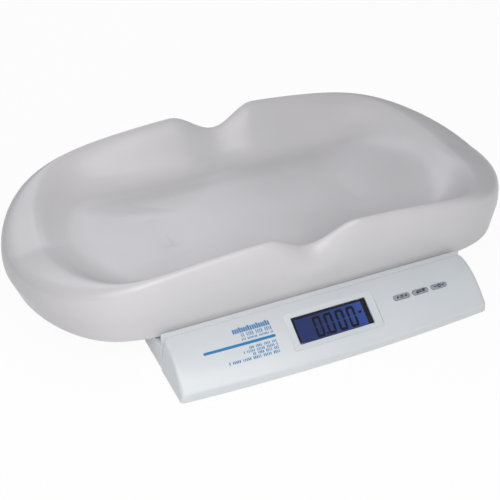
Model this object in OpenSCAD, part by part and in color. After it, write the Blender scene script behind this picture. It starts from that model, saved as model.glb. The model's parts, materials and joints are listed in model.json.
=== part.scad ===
// Digital baby weighing scale: a moulded cradle tray on a low base with a sloping display console.
// Millimetres, +Z up, -Y is the console side. Origin: middle of the footprint, on the floor.

/* [Tray] */
// Overall length of the tray
tray_length = 546; // [530:1:560]
// Overall width of the tray
tray_width = 266.5; // [258:0.5:275]
// Height of the rim at the middle of the back
rim_height = 112; // [106:0.5:118]
// Height of the rim at the middle of the front
front_rim_height = 107.5; // [102:0.5:114]
// Height of the rim at the two ends
end_height = 73.5; // [70:0.5:78]
// Height of the trough floor in the middle
floor_height = 54; // [52:1:56]
// Height of the skirt's lower edge
skirt_height = 34; // [33:1:37]
// Thickness of the tray's moulded wall
tray_wall = 3; // [2.5:0.1:3.5]
// Depth of the dip in the middle of each long rim
notch_depth = 21; // [10:1:24]
// Half the length of that dip
notch_half = 57; // [45:1:65]

/* [Console] */
// Length of the console and of the base behind it
console_length = 334; // [326:1:342]
// Depth of the console at its two ends
console_depth = 58; // [56:1:62]
// How far the front edge bows out in the middle
front_bow = 6.5; // [4:0.5:7]
// Height of the ridge along the back of the console
ridge_height = 41.5; // [40:0.5:43]
// Height of the front lip
lip_height = 15; // [14:0.2:16]
// Width of the display opening
window_w = 81.3; // [76:0.1:84]
// Height of the display opening, along the slope
window_h = 27.8; // [25:0.1:29]
// Slope of the display and of the board under it
panel_tilt = 32; // [30:0.5:34]

/* [Buttons] */
// Length of a button
button_l = 18; // [15:0.5:19]
// Width of a button
button_w = 5; // [4.8:0.2:7]
// Distance between two buttons
button_pitch = 21.5; // [21:0.1:22]
// How far a button can be pressed
button_travel = 0.5; // [0.3:0.1:0.6]

/* [Base] */
// Depth of the base behind the ridge
base_depth = 236; // [228:1:242]
// Height of the base's top skin
base_height = 30; // [29:0.5:31]
// Thickness of the housing walls
wall = 2.5; // [2:0.1:2.8]

/* [Load cell] */
// Length of the load cell
cell_l = 130; // [120:1:140]
// Width of the load cell
cell_w = 30; // [24:1:34]

/* [Hidden] */

// Places, front to back
tray_gap = 2.5;                                              // between the ridge and the tray
total_depth = console_depth + front_bow + tray_gap + tray_width;
ridge_y = -total_depth / 2 + console_depth + front_bow;      // back face of the ridge
tray_y = total_depth / 2 - tray_width / 2;                   // middle of the tray
groove = 7.5;                                                // ridge strip width, back to the seam
seam = 0.2;                                                  // gap between two housing parts
half_l = console_length / 2;
side_draft = 0.08;                                           // the console's ends lean in as they rise

// Heights of the stack between the floor and the tray
cover_low = 3;                                               // lower edge of the covers
pan_low = 4.5;                                               // underside of the pan
pan_top = 7;
plate_top = pan_top + 2;
cell_low = plate_top + 2;
cell_h = 15;
cell_top = cell_low + cell_h;
carrier_low = cell_top + 9;
carrier_top = carrier_low + 3;
pad_top = carrier_top + 3;
rest_gap = 0.3;                                              // tray posts over the pads

// ---------- shapes used in several places ----------

module at_floor_points(points) { for (p = points) translate([p[0], p[1], 0]) children(); }

module round_rect(w, d, r) {
    square([w - 2 * r, d], center = true);
    square([w, d - 2 * r], center = true);
    for (x = [-1, 1], y = [-1, 1]) translate([x * (w / 2 - r), y * (d / 2 - r)]) circle(r, $fn = 48);
}

module obround(l, w) {
    square([l - w, w], center = true);
    for (x = [-1, 1]) translate([x * (l - w) / 2, 0]) circle(w / 2, $fn = 48);
}

module slab(w, d, z0, z1) { translate([-w / 2, -d / 2, z0]) cube([w, d, z1 - z0]); }

// A tube or block as a skin over a list of rings with equally many points each.
// Each ring turns clockwise for someone who looks along the path of rings.
module skin(rings) {
    n = len(rings[0]);
    last = len(rings) - 1;
    polyhedron(
        points = [for (ring = rings) each ring],
        faces = [
            [for (i = [n - 1:-1:0]) i],
            for (k = [0:last - 1], i = [0:n - 1]) let (j = (i + 1) % n) each
                [[k * n + i, (k + 1) * n + j, (k + 1) * n + i], [k * n + i, k * n + j, (k + 1) * n + j]],
            [for (i = [0:n - 1]) last * n + i]
        ]);
}

// ---------- tray ----------

tray_points = 96;                // points around each ring
middle_crowding = 20;            // degrees that draw the points towards the dips
side_bow = 3.2;                  // the long sides run in by this much towards the ends
end_length = 143.5;              // where the rounded end begins
end_width = 150;                 // half width that the rounded end would reach
corner_sharpness = 10;
rim_fullness = 1.5;              // how soon the back rim drops towards the ends
front_fullness = 1.15;           // and the front rim
flat_half = 110;                 // the floor is level this far each way from the middle
end_climb = 19;                  // and climbs by this much towards the ends
climb_run = 155;
climb_power = 1.3;
tray_half_l = tray_length / 2;
tray_half_w = tray_width / 2;

function soft_min(a, b) = pow(pow(a, -corner_sharpness) + pow(b, -corner_sharpness), -1 / corner_sharpness);
function ring_angle(i) = let (t = 360 * i / tray_points) t + middle_crowding * sin(2 * t) / 2;
// The side line that, once blended into the rounded ends, gives this half width at the middle
function side_reach(half) = pow(pow(half, -corner_sharpness) - pow(end_width, -corner_sharpness), -1 / corner_sharpness);
function end_share(x, a, reach) = max(abs(x) - (a - reach), 0) / reach;
function half_width(x, a, b, in_side, in_end) = soft_min(
    b - side_bow * pow(x / a, 2),
    (end_width - in_side) * sqrt(max(1 - pow(end_share(x, a, end_length - in_end), 2), 1e-8)));
function crest(t) = end_height + (sin(t) < 0
    ? (front_rim_height - end_height) * pow(-sin(t), front_fullness)
    : (rim_height - end_height) * pow(sin(t), rim_fullness));
function dip(x) = abs(x) < notch_half ? (1 + cos(180 * x / notch_half)) / 2 : 0;
function trough(x) = floor_height + end_climb * pow(max(abs(x) - flat_half, 0) / climb_run, climb_power);

// A level is [inset at the sides, inset at the ends, whether it rises from the trough (or else from the
// skirt's lower edge), share of the way to the crest, share of the dip, push inwards at the dip, drop].
// The dip is scooped out towards the outside, so its share stays high down to the skirt.
tray_top_levels = [
    [110, 165, true, 0, 0, 0, 0],
    [80, 100, true, 0, 0, 0, 0],
    [52, 75, true, 0.03, 0.02, 0, 0],
    [35, 58, true, 0.30, 0.30, 0, 0],
    [18, 43, true, 0.82, 0.82, 3, 0],
    [8, 31, false, 1, 1, 5, 0],
    [2, 5.5, false, 0.85, 1, 2, 0],
    [0, 0, false, 0.50, 0.35, 0, 0],
    [0.3, 3.4, false, 0.22, 0.10, 0, 0],
    [0.5, 6.6, false, 0, 0, 0, 0]
];
tray_under_levels = [
    [0.5 + tray_wall, 6.6 + tray_wall, false, 0, 0, 0, 0],
    [tray_wall, tray_wall + 1, false, 0.50, 0.35, 0.3, 0],
    [2 + tray_wall, 6 + tray_wall, false, 0.85, 1.19, 0.64, 0.8 * tray_wall],
    [8.6, 33, false, 1, 1.11, 3.85, 1.21 * tray_wall],
    [16.8, 45, true, 0.82, 0.62, -0.37, 1.3 * tray_wall],
    [33.3, 59, true, 0.30, 0.27, 0, 1.65 * tray_wall],
    [53, 75, true, 0.03, 0.02, 0, 1.1 * tray_wall],
    [80, 100, true, 0, 0, 0, tray_wall],
    [110, 165, true, 0, 0, 0, tray_wall]
];

function level_point(level, i) = let (
    t = ring_angle(i),
    along = cos(t),
    a = tray_half_l - level[1],
    x = a * along,
    full_x = tray_half_l * along,
    base = level[2] ? trough(x) : skirt_height,
    y = sign(round(sin(t) * 1e6)) * (half_width(x, a, side_reach(tray_half_w) - level[0], level[0], level[1])
        - level[5] * dip(full_x)),
    z = base + level[3] * (crest(t) - base) - level[4] * notch_depth * dip(full_x) - level[6]
) [x, tray_y + y, z];

function level_ring(level) = [for (i = [0:tray_points - 1]) level_point(level, i)];
function spline(p, q, r, s, u) = 0.5 * (2 * q + (r - p) * u + (2 * p - 5 * q + 4 * r - s) * u * u
    + (3 * q - 3 * r + s - p) * u * u * u);
function between(rings, k, u) = let (last = len(rings) - 1)
    [for (i = [0:tray_points - 1])
        spline(rings[max(k - 1, 0)][i], rings[k][i], rings[k + 1][i], rings[min(k + 2, last)][i], u)];
function smooth_rings(levels, steps) = let (rings = [for (v = levels) level_ring(v)], last = len(rings) - 1)
    [for (k = [0:last - 1], s = [0:steps - 1]) between(rings, k, s / steps), rings[last]];

post_x = 120;
post_y = 62;
post_points = [for (x = [-1, 1], y = [-1, 1]) [x * post_x, tray_y + y * post_y]];

post_d = 22;
rib_t = 2.2;
rib_h = 5;

module tray() color("#d9d9dc") {
    floor_under = floor_height - tray_wall;
    rooted = 1.5;                // how far posts and ribs run up into the floor
    skin(concat(smooth_rings(tray_top_levels, 3), smooth_rings(tray_under_levels, 2)));
    at_floor_points(post_points) translate([0, 0, pad_top + rest_gap])
        cylinder(d = post_d, h = floor_under + rooted - pad_top - rest_gap, $fn = 48);
    // stiffening ribs that join the posts under the floor
    for (y = [-post_y, post_y]) translate([-post_x, tray_y + y - rib_t / 2, floor_under - rib_h])
        cube([2 * post_x, rib_t, rib_h + rooted]);
    for (x = [-post_x, 0, post_x]) translate([x - rib_t / 2, tray_y - post_y, floor_under - rib_h])
        cube([rib_t, 2 * post_y, rib_h + rooted]);
}

// ---------- weighing platform and load cell ----------

cell_end = cell_l / 2 - 15;            // middle of the fixed and of the free end
cell_hole_pitch = 15;
cell_holes = [-cell_hole_pitch / 2, cell_hole_pitch / 2];
screw_d = 5;

module tray_carrier() color("#9aa0a6") translate([0, tray_y, carrier_low]) difference() {
    linear_extrude(carrier_top - carrier_low) difference() {
        union() {
            round_rect(2 * post_x + 30, 70, 12);
            for (x = [-post_x, post_x]) translate([x, 0]) round_rect(30, 2 * post_y + 32, 12);
        }
        // lightening holes
        for (x = [-85, -40]) translate([x, 0]) round_rect(30, 44, 8);
        for (x = [0, 87]) translate([x, 0]) round_rect(25, 44, 8);
    }
    for (x = cell_holes) translate([cell_end + x, 0, -1]) cylinder(d = screw_d + 0.4, h = 5, $fn = 32);
    for (p = post_points) translate([p[0], p[1] - tray_y, -1]) cylinder(d = 6.2, h = 5, $fn = 32);
}

module carrier_pads() color("#33363a") at_floor_points(post_points) {
    translate([0, 0, carrier_top]) cylinder(d1 = 22, d2 = 20, h = pad_top - carrier_top, $fn = 48);
    translate([0, 0, carrier_low + 0.4]) cylinder(d = 6, h = carrier_top - carrier_low, $fn = 32);
}

module cap_screw(z_seat, head_h, length, up) {
    translate([0, 0, up ? z_seat : z_seat - head_h]) cylinder(d = 9, h = head_h, $fn = 32);
    translate([0, 0, up ? z_seat - length : z_seat]) cylinder(d = screw_d - 0.1, h = length, $fn = 32);
}

module carrier_screws() color("#b8bcc0")
    for (x = cell_holes) translate([cell_end + x, tray_y, 0]) cap_screw(carrier_top, 3, 20, true);

module carrier_spacer() color("#a9adb2") translate([cell_end, tray_y, 0]) difference() {
    slab(28, cell_w, cell_top, carrier_low);
    for (x = cell_holes) translate([x, 0, cell_top - 1]) cylinder(d = screw_d + 0.4, h = 11, $fn = 32);
}

gauge_x = [-14, 14];                   // the bending points, over and under the two bores

module load_cell() color("#c9ccd0") difference() {
    translate([0, tray_y, 0]) slab(cell_l, cell_w, cell_low, cell_top);
    // the two joined bores that leave four thin bending points
    translate([0, tray_y + cell_w, (cell_low + cell_top) / 2]) rotate([90, 0, 0]) linear_extrude(2 * cell_w) {
        for (x = gauge_x) translate([x, 0]) circle(d = 11, $fn = 64);
        square([gauge_x[1] - gauge_x[0], 6], center = true);
    }
    for (x = cell_holes) {
        translate([cell_end + x, tray_y, cell_top - 12]) cylinder(d = screw_d, h = 13, $fn = 32);
        translate([-cell_end + x, tray_y, cell_low - 1]) cylinder(d = screw_d, h = 13, $fn = 32);
    }
}

module strain_gauges() color("#c98a2b")
    for (x = gauge_x) {
        translate([x, tray_y, 0]) slab(10, 7, cell_top, cell_top + 0.3);
        translate([x, tray_y, 0]) slab(10, 7, cell_low - 0.3, cell_low);
    }

module base_spacer() color("#a9adb2") translate([-cell_end, tray_y, 0]) difference() {
    slab(28, cell_w, plate_top, cell_low);
    for (x = cell_holes) translate([x, 0, plate_top - 1]) cylinder(d = screw_d + 0.4, h = 4, $fn = 32);
}

module cell_screws() color("#b8bcc0")
    for (x = cell_holes) translate([-cell_end + x, tray_y, 0]) cap_screw(pan_top, 2.3, 14, false);

plate_l = 130;
plate_w = 96;
plate_x = -30;
plate_screw_points = [for (x = [-1, 1], y = [-1, 1])
    [plate_x + x * (plate_l / 2 - 9), tray_y + y * (plate_w / 2 - 9)]];

module base_plate() color("#aeb3b8") difference() {
    translate([plate_x, tray_y, pan_top]) linear_extrude(plate_top - pan_top) difference() {
        round_rect(plate_l, plate_w, 8);
        translate([32, 0]) round_rect(36, 50, 6);
    }
    for (x = cell_holes) translate([-cell_end + x, tray_y, pan_top - 1]) cylinder(d = screw_d + 0.4, h = 4, $fn = 32);
    at_floor_points(plate_screw_points) translate([0, 0, pan_top - 1]) cylinder(d = 3.6, h = 4, $fn = 32);
}

module plate_screws() color("#b8bcc0") at_floor_points(plate_screw_points) {
    translate([0, 0, plate_top]) cylinder(d = 6.5, h = 2, $fn = 32);
    translate([0, 0, pan_low + 0.6]) cylinder(d = 2.9, h = plate_top - pan_low - 0.6, $fn = 32);
}

stop_gap = 0.8;                        // the platform can sink this far before it meets a stop
stop_points = [for (x = [-1, 1], y = [-1, 1]) [x * post_x, tray_y + y * 12]];

module overload_stops() color("#8d9297") at_floor_points(stop_points) {
    translate([0, 0, base_height]) cylinder(d = 8, h = carrier_low - stop_gap - base_height, $fn = 32);
    translate([0, 0, base_height - 8]) cylinder(d = 3.9, h = 8, $fn = 32);
}

// ---------- housings ----------

base_half_l = half_l - 1;
base_back = ridge_y + base_depth;
rear_corner = 24;
screw_column_d = 8;
column_points = [for (x = [-1, 1], y = [base_back - 22, ridge_y + 70]) [x * (half_l - 19), y]];
console_column_s = 40;
console_column_points = [for (x = [-1, 1]) [x * (half_l - 13), ridge_y - console_column_s]];

// Plan of the base: square at the seam, rounded at the back
module base_plan(inset) {
    w = 2 * (base_half_l - inset);
    front = ridge_y - groove + seam;
    r = rear_corner - inset;
    back = base_back - inset;
    translate([-w / 2, front]) square([w, back - front - r]);
    translate([-w / 2 + r, front]) square([w - 2 * r, back - front]);
    for (x = [-1, 1]) translate([x * (w / 2 - r), back - r]) circle(r, $fn = 72);
}

bevel_side = 8;                  // square that bevels the corners where the two covers meet
bevel_depth = 9;

module corner_bevels() for (x = [-1, 1]) translate([x * (half_l - 1.5), ridge_y - groove, ridge_height])
    rotate([0, 0, 45]) cube([bevel_side, bevel_side, 2 * bevel_depth], center = true);

// The ridge over the base's front edge, with its back edge rounded. Its hollow opens towards the console
// and stops short of the bevelled ends.
module ridge_bar(inset) {
    r = 1.6;
    front = ridge_y - groove + seam - (inset > 0 ? 1 : 0);
    back = ridge_y - inset;
    top = ridge_height - inset;
    len = 2 * (half_l - side_draft * ridge_height - (inset > 0 ? inset + bevel_side / 2 : 0));
    translate([-len / 2, 0, 0]) rotate([90, 0, 90]) linear_extrude(len) {
        translate([front, base_height - wall - inset / 10])
            square([back - front, top - r - base_height + wall + inset / 10]);
        translate([front, top - 2 * r]) square([back - front - r, 2 * r]);
        translate([back - r, top - r]) circle(r, $fn = 32);
    }
}

module base_cover() color("#e6eaec") difference() {
    union() {
        difference() {
            union() {
                translate([0, 0, cover_low]) linear_extrude(base_height - cover_low) base_plan(0);
                ridge_bar(0);
            }
            translate([0, 0, cover_low - 1]) linear_extrude(base_height - wall - cover_low + 1) base_plan(wall);
            // the seam side is open to the console
            translate([-base_half_l + wall, ridge_y - groove - 1, cover_low - 1])
                cube([2 * (base_half_l - wall), groove + 1, base_height - wall - cover_low + 1]);
            ridge_bar(wall);
        }
        at_floor_points(column_points) translate([0, 0, pan_top + 0.2])
            cylinder(d = screw_column_d, h = base_height - wall - pan_top, $fn = 32);
        at_floor_points(stop_points) translate([0, 0, base_height - 9]) cylinder(d = 9, h = 9, $fn = 32);
    }
    // opening that the carrier's spacer comes up through
    translate([cell_end, tray_y, 0]) slab(38, cell_w + 10, base_height - wall - 1, base_height + 1);
    at_floor_points(column_points) translate([0, 0, pan_top]) cylinder(d = 2.6, h = 14, $fn = 32);
    at_floor_points(stop_points) translate([0, 0, base_height - 8.5]) cylinder(d = 4, h = 9, $fn = 32);
    corner_bevels();
}

// Height and slope of the console's panel at a distance forward of the ridge's back face
panel_end = console_depth - 3;
panel_curve = 2.1;
function panel_share(s) = max(s - groove, 0) / (panel_end - groove);
function panel_z(s) = lip_height + (ridge_height - lip_height) * (1 - pow(panel_share(s), panel_curve));
function panel_slope(s) = atan((ridge_height - lip_height) * panel_curve * pow(panel_share(s), panel_curve - 1)
    / (panel_end - groove));
function bow_at(s, q) = front_bow * (s - groove) / (console_depth - groove) * (1 - q * q);

// Section of the console, as [distance forward, height], from the back of the foot up over the panel
// and round the nose, which the panel runs into without a crease
panel_steps = 14;
nose_steps = 4;
nose_r = 4.4;
panel_stop = console_depth - 1;
nose_slope = panel_slope(panel_stop);
nose_z = panel_z(panel_stop) - nose_r * cos(nose_slope);
taper_low = 20;                     // the hollow's ends are upright up to this height
function console_section(drop, low) = concat(
    [[groove + seam, low], [groove + seam, taper_low]],
    [for (k = [0:panel_steps]) let (
        s = groove + seam + (panel_stop - groove - seam) * k / panel_steps,
        slope = panel_slope(s)
    ) [max(s - drop * sin(slope), groove + seam), panel_z(s) - drop * cos(slope)]],
    [for (k = [1:nose_steps]) let (t = (90 - nose_slope) * (1 - k / nose_steps))
        [console_depth - nose_r + (nose_r - drop) * cos(t), nose_z + (nose_r - drop) * sin(t)]],
    [[console_depth - drop, low]]
);
// The ends are rounded over: [share of the half length left, inset] for the last few sections
end_steps = [[0, 3], [0.5, 1.7], [1.3, 0.8], [2.4, 0.25], [4, 0]];
inner_steps = 8;
console_ends = concat(
    [for (e = end_steps) [(half_l - e[0]) / half_l, e[1]]],
    [for (k = [1:inner_steps - 1]) [(half_l - 4) / half_l * (1 - 2 * k / inner_steps), 0]],
    [for (k = [len(end_steps) - 1:-1:0]) [-(half_l - end_steps[k][0]) / half_l, end_steps[k][1]]]
);
function console_ring(q, drop, inset, low, end_taper = 0) = [for (p = console_section(drop + inset, low))
    [q * (half_l - inset - side_draft * p[1] - end_taper * max(p[1] - taper_low, 0)),
        ridge_y - p[0] - bow_at(p[0], q), p[1]]];
// The hollow narrows towards the top, so the ends stay closed behind the bevels
function hollow_ring(q) = [for (p = console_ring(q, 0, wall, cover_low - 1, 0.25))
    [p[0], p[1] + (p[1] > ridge_y - groove - 0.5 ? 4 : 0), p[2]]];

// The display, its board and the buttons lie on one sloping plane: x along, y up the slope, z outwards
display_s = 37.6;
display_z = 31;
module on_panel() translate([0, ridge_y - display_s, display_z]) rotate([panel_tilt, 0, 0]) children();

frame_w = 96;
frame_h = 38;
lip_t = 2.5;                        // thickness of the frame's lip over the window
button_x = [77.3, 77.3 + button_pitch, 77.3 + 2 * button_pitch];
button_up = 3.0;                    // up the slope from the middle of the display
button_face = 1.55;                 // the panel's face at the buttons, outwards from the display plane
board_top = -10.9;
board_t = 1.6;
board_pillars = [[-51.5, -12], [-51.5, 12], [134.5, -9], [134.5, 9]];
pillar_h = 10.6;

module console_cover() color("#dfe5e8") difference() {
    union() {
        difference() {
            skin([for (e = console_ends) console_ring(e[0], e[1], 0, cover_low)]);
            skin([for (k = [0:inner_steps]) hollow_ring(1 - 2 * k / inner_steps)]);
        }
        on_panel() {
            slab(frame_w, frame_h, -lip_t, 0);
            // webs that join the frame's two ends to the shell
            slab(frame_w + 5, frame_h - 20, -lip_t, 1);
            for (p = board_pillars) translate([p[0], p[1], board_top]) cylinder(d = 6, h = pillar_h, $fn = 32);
        }
        // columns for the housing screws
        at_floor_points(console_column_points) translate([0, 0, pan_top + 0.2])
            cylinder(d = screw_column_d, h = panel_z(console_column_s + 4) - pan_top - 1.2, $fn = 32);
    }
    on_panel() {
        slab(frame_w, frame_h, 0, 6);
        slab(window_w, window_h, -8, 8);
        slab(window_w + 7, window_h + 7, -7, -lip_t);
        for (x = button_x) translate([x, button_up, -5]) linear_extrude(12)
            obround(button_l + 0.6, button_w + 0.6);
        for (p = board_pillars) translate([p[0], p[1], board_top - 1]) cylinder(d = 2.1, h = 7, $fn = 32);
    }
    at_floor_points(console_column_points) cylinder(d = 2.6, h = 20, $fn = 32);
    corner_bevels();
}

// ---------- pan, feet and fasteners ----------

pan_gap = 0.4;
pan_half_l = base_half_l - wall - pan_gap;
pan_front = ridge_y - console_depth + wall + 1;
foot_points = [for (x = [-1, 1], y = [ridge_y - 44, base_back - 40]) [x * (half_l - 32), y]];
foot_d = 22;
bay_x = 90;                         // middle of the battery bay
bay_y = tray_y + 51;
bay_l = 58;
bay_w = 63;
bay_h = 16;
bay_wall = 1.6;
door_gap = 0.3;
tongue_x = [-18, 18];

module pan_plan(inset) {
    w = 2 * (pan_half_l - inset);
    front = pan_front + inset;
    back = base_back - wall - pan_gap - inset;
    r = rear_corner - wall - pan_gap - inset;
    translate([-w / 2, front]) square([w, back - front - r]);
    translate([-w / 2 + r, front]) square([w - 2 * r, back - front]);
    for (x = [-1, 1]) translate([x * (w / 2 - r), back - r]) circle(r, $fn = 72);
}

all_columns = concat(column_points, console_column_points);

module base_pan() color("#d5d9dc") difference() {
    union() {
        translate([0, 0, pan_low]) linear_extrude(pan_top - pan_low) pan_plan(0);
        // low rim inside the covers
        translate([0, 0, pan_low]) linear_extrude(5.5) difference() {
            pan_plan(0);
            pan_plan(1.8);
        }
        // battery bay
        translate([bay_x, bay_y, 0])
            slab(bay_l + 2 * bay_wall, bay_w + 2 * bay_wall, pan_low, pan_top + bay_h + bay_wall);
        // stiffening ribs across the floor
        for (y = [ridge_y + 20, base_back - 40])
            translate([-pan_half_l + 30, y, pan_top - 0.5]) cube([2 * pan_half_l - 60 - (y > 0 ? 76 : 0), 2, 4]);
    }
    translate([bay_x, bay_y, 0]) {
        slab(bay_l, bay_w, pan_low - 1, pan_top + bay_h);
        // slots for the door's two tongues
        for (x = tongue_x) translate([x, -bay_w / 2 - 1, 0]) slab(11, 3, pan_low + 0.7, pan_top + 5);
    }
    // way out of the bay for the lead
    translate([bay_x + bay_l / 2 - 1, bay_y - 3, aa_z - 3]) cube([4, 6, 6]);
    at_floor_points(all_columns) {
        translate([0, 0, pan_low - 1]) cylinder(d = 3.4, h = 5, $fn = 32);
        translate([0, 0, pan_low - 0.01]) cylinder(d = 6.2, h = 1.2, $fn = 32);
    }
    at_floor_points(plate_screw_points) translate([0, 0, pan_low - 1]) cylinder(d = 3, h = 5, $fn = 32);
    for (x = cell_holes) translate([-cell_end + x, tray_y, pan_low - 1]) cylinder(d = 9.6, h = 5, $fn = 32);
    at_floor_points(foot_points) translate([0, 0, pan_low - 1]) cylinder(d = 6.2, h = 5, $fn = 32);
}

module feet() color("#3a3d40") at_floor_points(foot_points) {
    cylinder(d1 = foot_d - 2, d2 = foot_d, h = 1.2, $fn = 48);
    translate([0, 0, 1.2]) cylinder(d = foot_d, h = pan_low - 1.2, $fn = 48);
    translate([0, 0, pan_low]) cylinder(d = 6, h = 2, $fn = 32);
}

module housing_screws() color("#b8bcc0") at_floor_points(all_columns) {
    translate([0, 0, pan_low]) cylinder(d = 6, h = 1.1, $fn = 32);
    translate([0, 0, pan_low]) cylinder(d = 2.5, h = 13, $fn = 32);
}

// ---------- display and board ----------

module display_window() color("#c9dcf0", 0.5) on_panel() slab(window_w + 5, window_h + 5, -lip_t - 1.2, -lip_t);

glass_w = 83;
glass_h = 30;
module lcd_frame() color("#2b2e33") on_panel() difference() {
    slab(glass_w + 7, glass_h + 3, board_top, -lip_t - 1.4);
    slab(glass_w + 0.4, glass_h + 0.4, board_top - 1, 0);
}

module lcd_glass() color("#27418f") on_panel() slab(glass_w, glass_h, -6.4, -4.2);

module backlight() color("#4f76e0") on_panel() slab(80, 24.5, -10.2, -6.6);

module zebra_strips() color("#e7a0a8") on_panel()
    for (y = [-13.6, 13.6]) translate([0, y, 0]) slab(72, 1.8, board_top, -6.4);

module main_board() color("#1f6b45") on_panel() difference() {
    translate([41.5, 0, 0]) slab(194, 32, board_top - board_t, board_top);
    for (p = board_pillars) translate([p[0], p[1], board_top - board_t - 1]) cylinder(d = 2.6, h = 4, $fn = 32);
}

module board_chips() color("#222428") on_panel() {
    translate([20, 2, 0]) slab(14, 10, board_top - board_t - 2, board_top - board_t);
    translate([-10, -3, 0]) slab(9, 5, board_top - board_t - 1.6, board_top - board_t);
    translate([58, 4, 0]) slab(5, 4, board_top - board_t - 1.4, board_top - board_t);
}

connector_x = [-30, 108];
connector_up = 8;
connector_h = 6;
module board_connectors() color("#e9e7de") on_panel() for (x = connector_x)
    translate([x, connector_up, 0]) slab(12, 6, board_top - board_t - connector_h, board_top - board_t);

module board_screws() color("#b8bcc0") on_panel() for (p = board_pillars) translate([p[0], p[1], 0]) {
    translate([0, 0, board_top - board_t - 1.6]) cylinder(d = 4.5, h = 1.6, $fn = 32);
    translate([0, 0, board_top - board_t]) cylinder(d = 2, h = 6.5, $fn = 32);
}

switch_h = 3.4;
plunger_d = 3.5;
plunger_top = -6;

module switch_body(k) color("#3c4046") on_panel() translate([button_x[k], button_up, 0]) difference() {
    slab(6.2, 6.2, board_top, board_top + switch_h);
    translate([0, 0, board_top + 0.5]) cylinder(d = plunger_d + 0.16, h = 5, $fn = 48);
}

module plunger(k) color("#17181a") on_panel() translate([button_x[k], button_up, board_top + 1.3])
    cylinder(d = plunger_d, h = plunger_top - board_top - 1.3, $fn = 48);

module button(k) color("#a2a6ae") on_panel() translate([button_x[k], button_up, 0]) {
    translate([0, 0, -2]) linear_extrude(button_face + 2.4) obround(button_l, button_w);
    linear_extrude(button_face + 0.8) obround(button_l - 0.8, button_w - 0.8);
    translate([0, 0, -2.9]) linear_extrude(1.2) obround(button_l + 2.6, button_w + 2.6);
    translate([0, 0, plunger_top]) cylinder(d = 4.6, h = 3.2, $fn = 32);
}

module switch_tare() switch_body(0);
module switch_unit() switch_body(1);
module switch_power() switch_body(2);
module plunger_tare() plunger(0);
module plunger_unit() plunger(1);
module plunger_power() plunger(2);
module button_tare() button(0);
module button_unit() button(1);
module button_power() button(2);

// ---------- battery bay ----------

cell_aa_d = 14.4;
cell_aa_l = 49.2;
cell_pitch = 15.5;
cell_rows = [-1.5, -0.5, 0.5, 1.5];
aa_z = pan_top + 0.4 + cell_aa_d / 2;

module battery_cells() color("#3f6fb5")
    for (k = [0:3]) translate([bay_x, bay_y + cell_rows[k] * cell_pitch, aa_z])
        rotate([0, k % 2 == 0 ? 90 : -90, 0]) {
            translate([0, 0, -cell_aa_l / 2]) cylinder(d = cell_aa_d, h = cell_aa_l, $fn = 48);
            translate([0, 0, cell_aa_l / 2]) cylinder(d = 5.5, h = 1.2, $fn = 32);
        }

module battery_contacts() color("#c7c9c4")
    for (k = [0:3]) translate([bay_x, bay_y + cell_rows[k] * cell_pitch, aa_z]) {
        turned = k % 2 == 0 ? 1 : -1;
        for (side = [-1, 1]) translate([side * (bay_l / 2 - 0.3), 0, 0]) cube([0.6, 12, 11], center = true);
        // pressed-in cone on the flat end, straight contact on the other
        translate([-turned * (bay_l / 2 - 0.6), 0, 0]) rotate([0, turned * 90, 0])
            cylinder(d1 = 9, d2 = 5, h = bay_l / 2 - 0.6 - cell_aa_l / 2, $fn = 32);
        translate([turned * (bay_l / 2 - 0.6), 0, 0]) rotate([0, -turned * 90, 0])
            cylinder(d = 6, h = bay_l / 2 - 0.6 - cell_aa_l / 2 - 1.2, $fn = 32);
    }

module battery_door() color("#d5d9dc") translate([bay_x, bay_y, 0]) {
    slab(bay_l - 2 * door_gap, bay_w - 2 * door_gap, pan_low, pan_top - 0.2);
    for (x = tongue_x) translate([x, -bay_w / 2 + 0.1, 0]) slab(9, 2.6, pan_top - 1.6, pan_top - 0.2);
    // spring finger of the latch, with its grip
    translate([0, bay_w / 2 - 1.2, 0]) slab(12, 1, pan_top - 0.2, pan_top + 4);
    for (y = [0:3]) translate([0, bay_w / 2 - 8 + 1.6 * y, 0]) slab(14, 0.7, pan_low - 0.5, pan_low);
}

// ---------- leads inside the housing ----------

lead_sides = 8;
function unit(v) = v / norm(v);
function heading(path, k) = let (last = len(path) - 1) unit(path[min(k + 1, last)] - path[max(k - 1, 0)]);
function lead_ring(path, k, r) = let (
    d = heading(path, k),
    u = unit(cross(d, abs(d[2]) > 0.9 ? [1, 0, 0] : [0, 0, 1])),
    v = cross(u, d)
) [for (i = [0:lead_sides - 1]) let (t = 360 * i / lead_sides) path[k] + r * (cos(t) * u + sin(t) * v)];

module lead(path, d) skin([for (k = [0:len(path) - 1]) lead_ring(path, k, d / 2)]);

// A point under a connector, this far from its lower face
function under_connector(k, out) = let (low = board_top - board_t - connector_h - out) [
    connector_x[k],
    ridge_y - display_s + connector_up * cos(panel_tilt) - low * sin(panel_tilt),
    display_z + connector_up * sin(panel_tilt) + low * cos(panel_tilt)
];
lead_bend = 4.5;
// From the load cell's fixed end forward to the first connector
cell_lead_path = [
    [-58, tray_y - cell_w / 2, 20], [-58, tray_y - cell_w / 2 - 6, 20], [-57, tray_y - 40, 18],
    [-54, -30, 15], [-48, -60, 14], [-42, -90, 14], [-36, -110, 13.5], [-32, -119, 13.5],
    under_connector(0, lead_bend), under_connector(0, 0)
];
bay_side = bay_x + bay_l / 2;
battery_lead_path = [
    [bay_side, bay_y, aa_z], [bay_side + 4, bay_y, aa_z], [bay_side + 7, bay_y - 5, aa_z],
    [bay_side + 8, 40, 14], [bay_side + 8, 0, 13], [bay_side + 4, -40, 13], [bay_side - 6, -75, 14],
    [110, -100, 14], [109, -113, 13.5], under_connector(1, lead_bend), under_connector(1, 0)
];

module load_cell_lead() color("#7a7d82") lead(cell_lead_path, 4);
module battery_lead() color("#a33a34") lead(battery_lead_path, 3);

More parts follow.
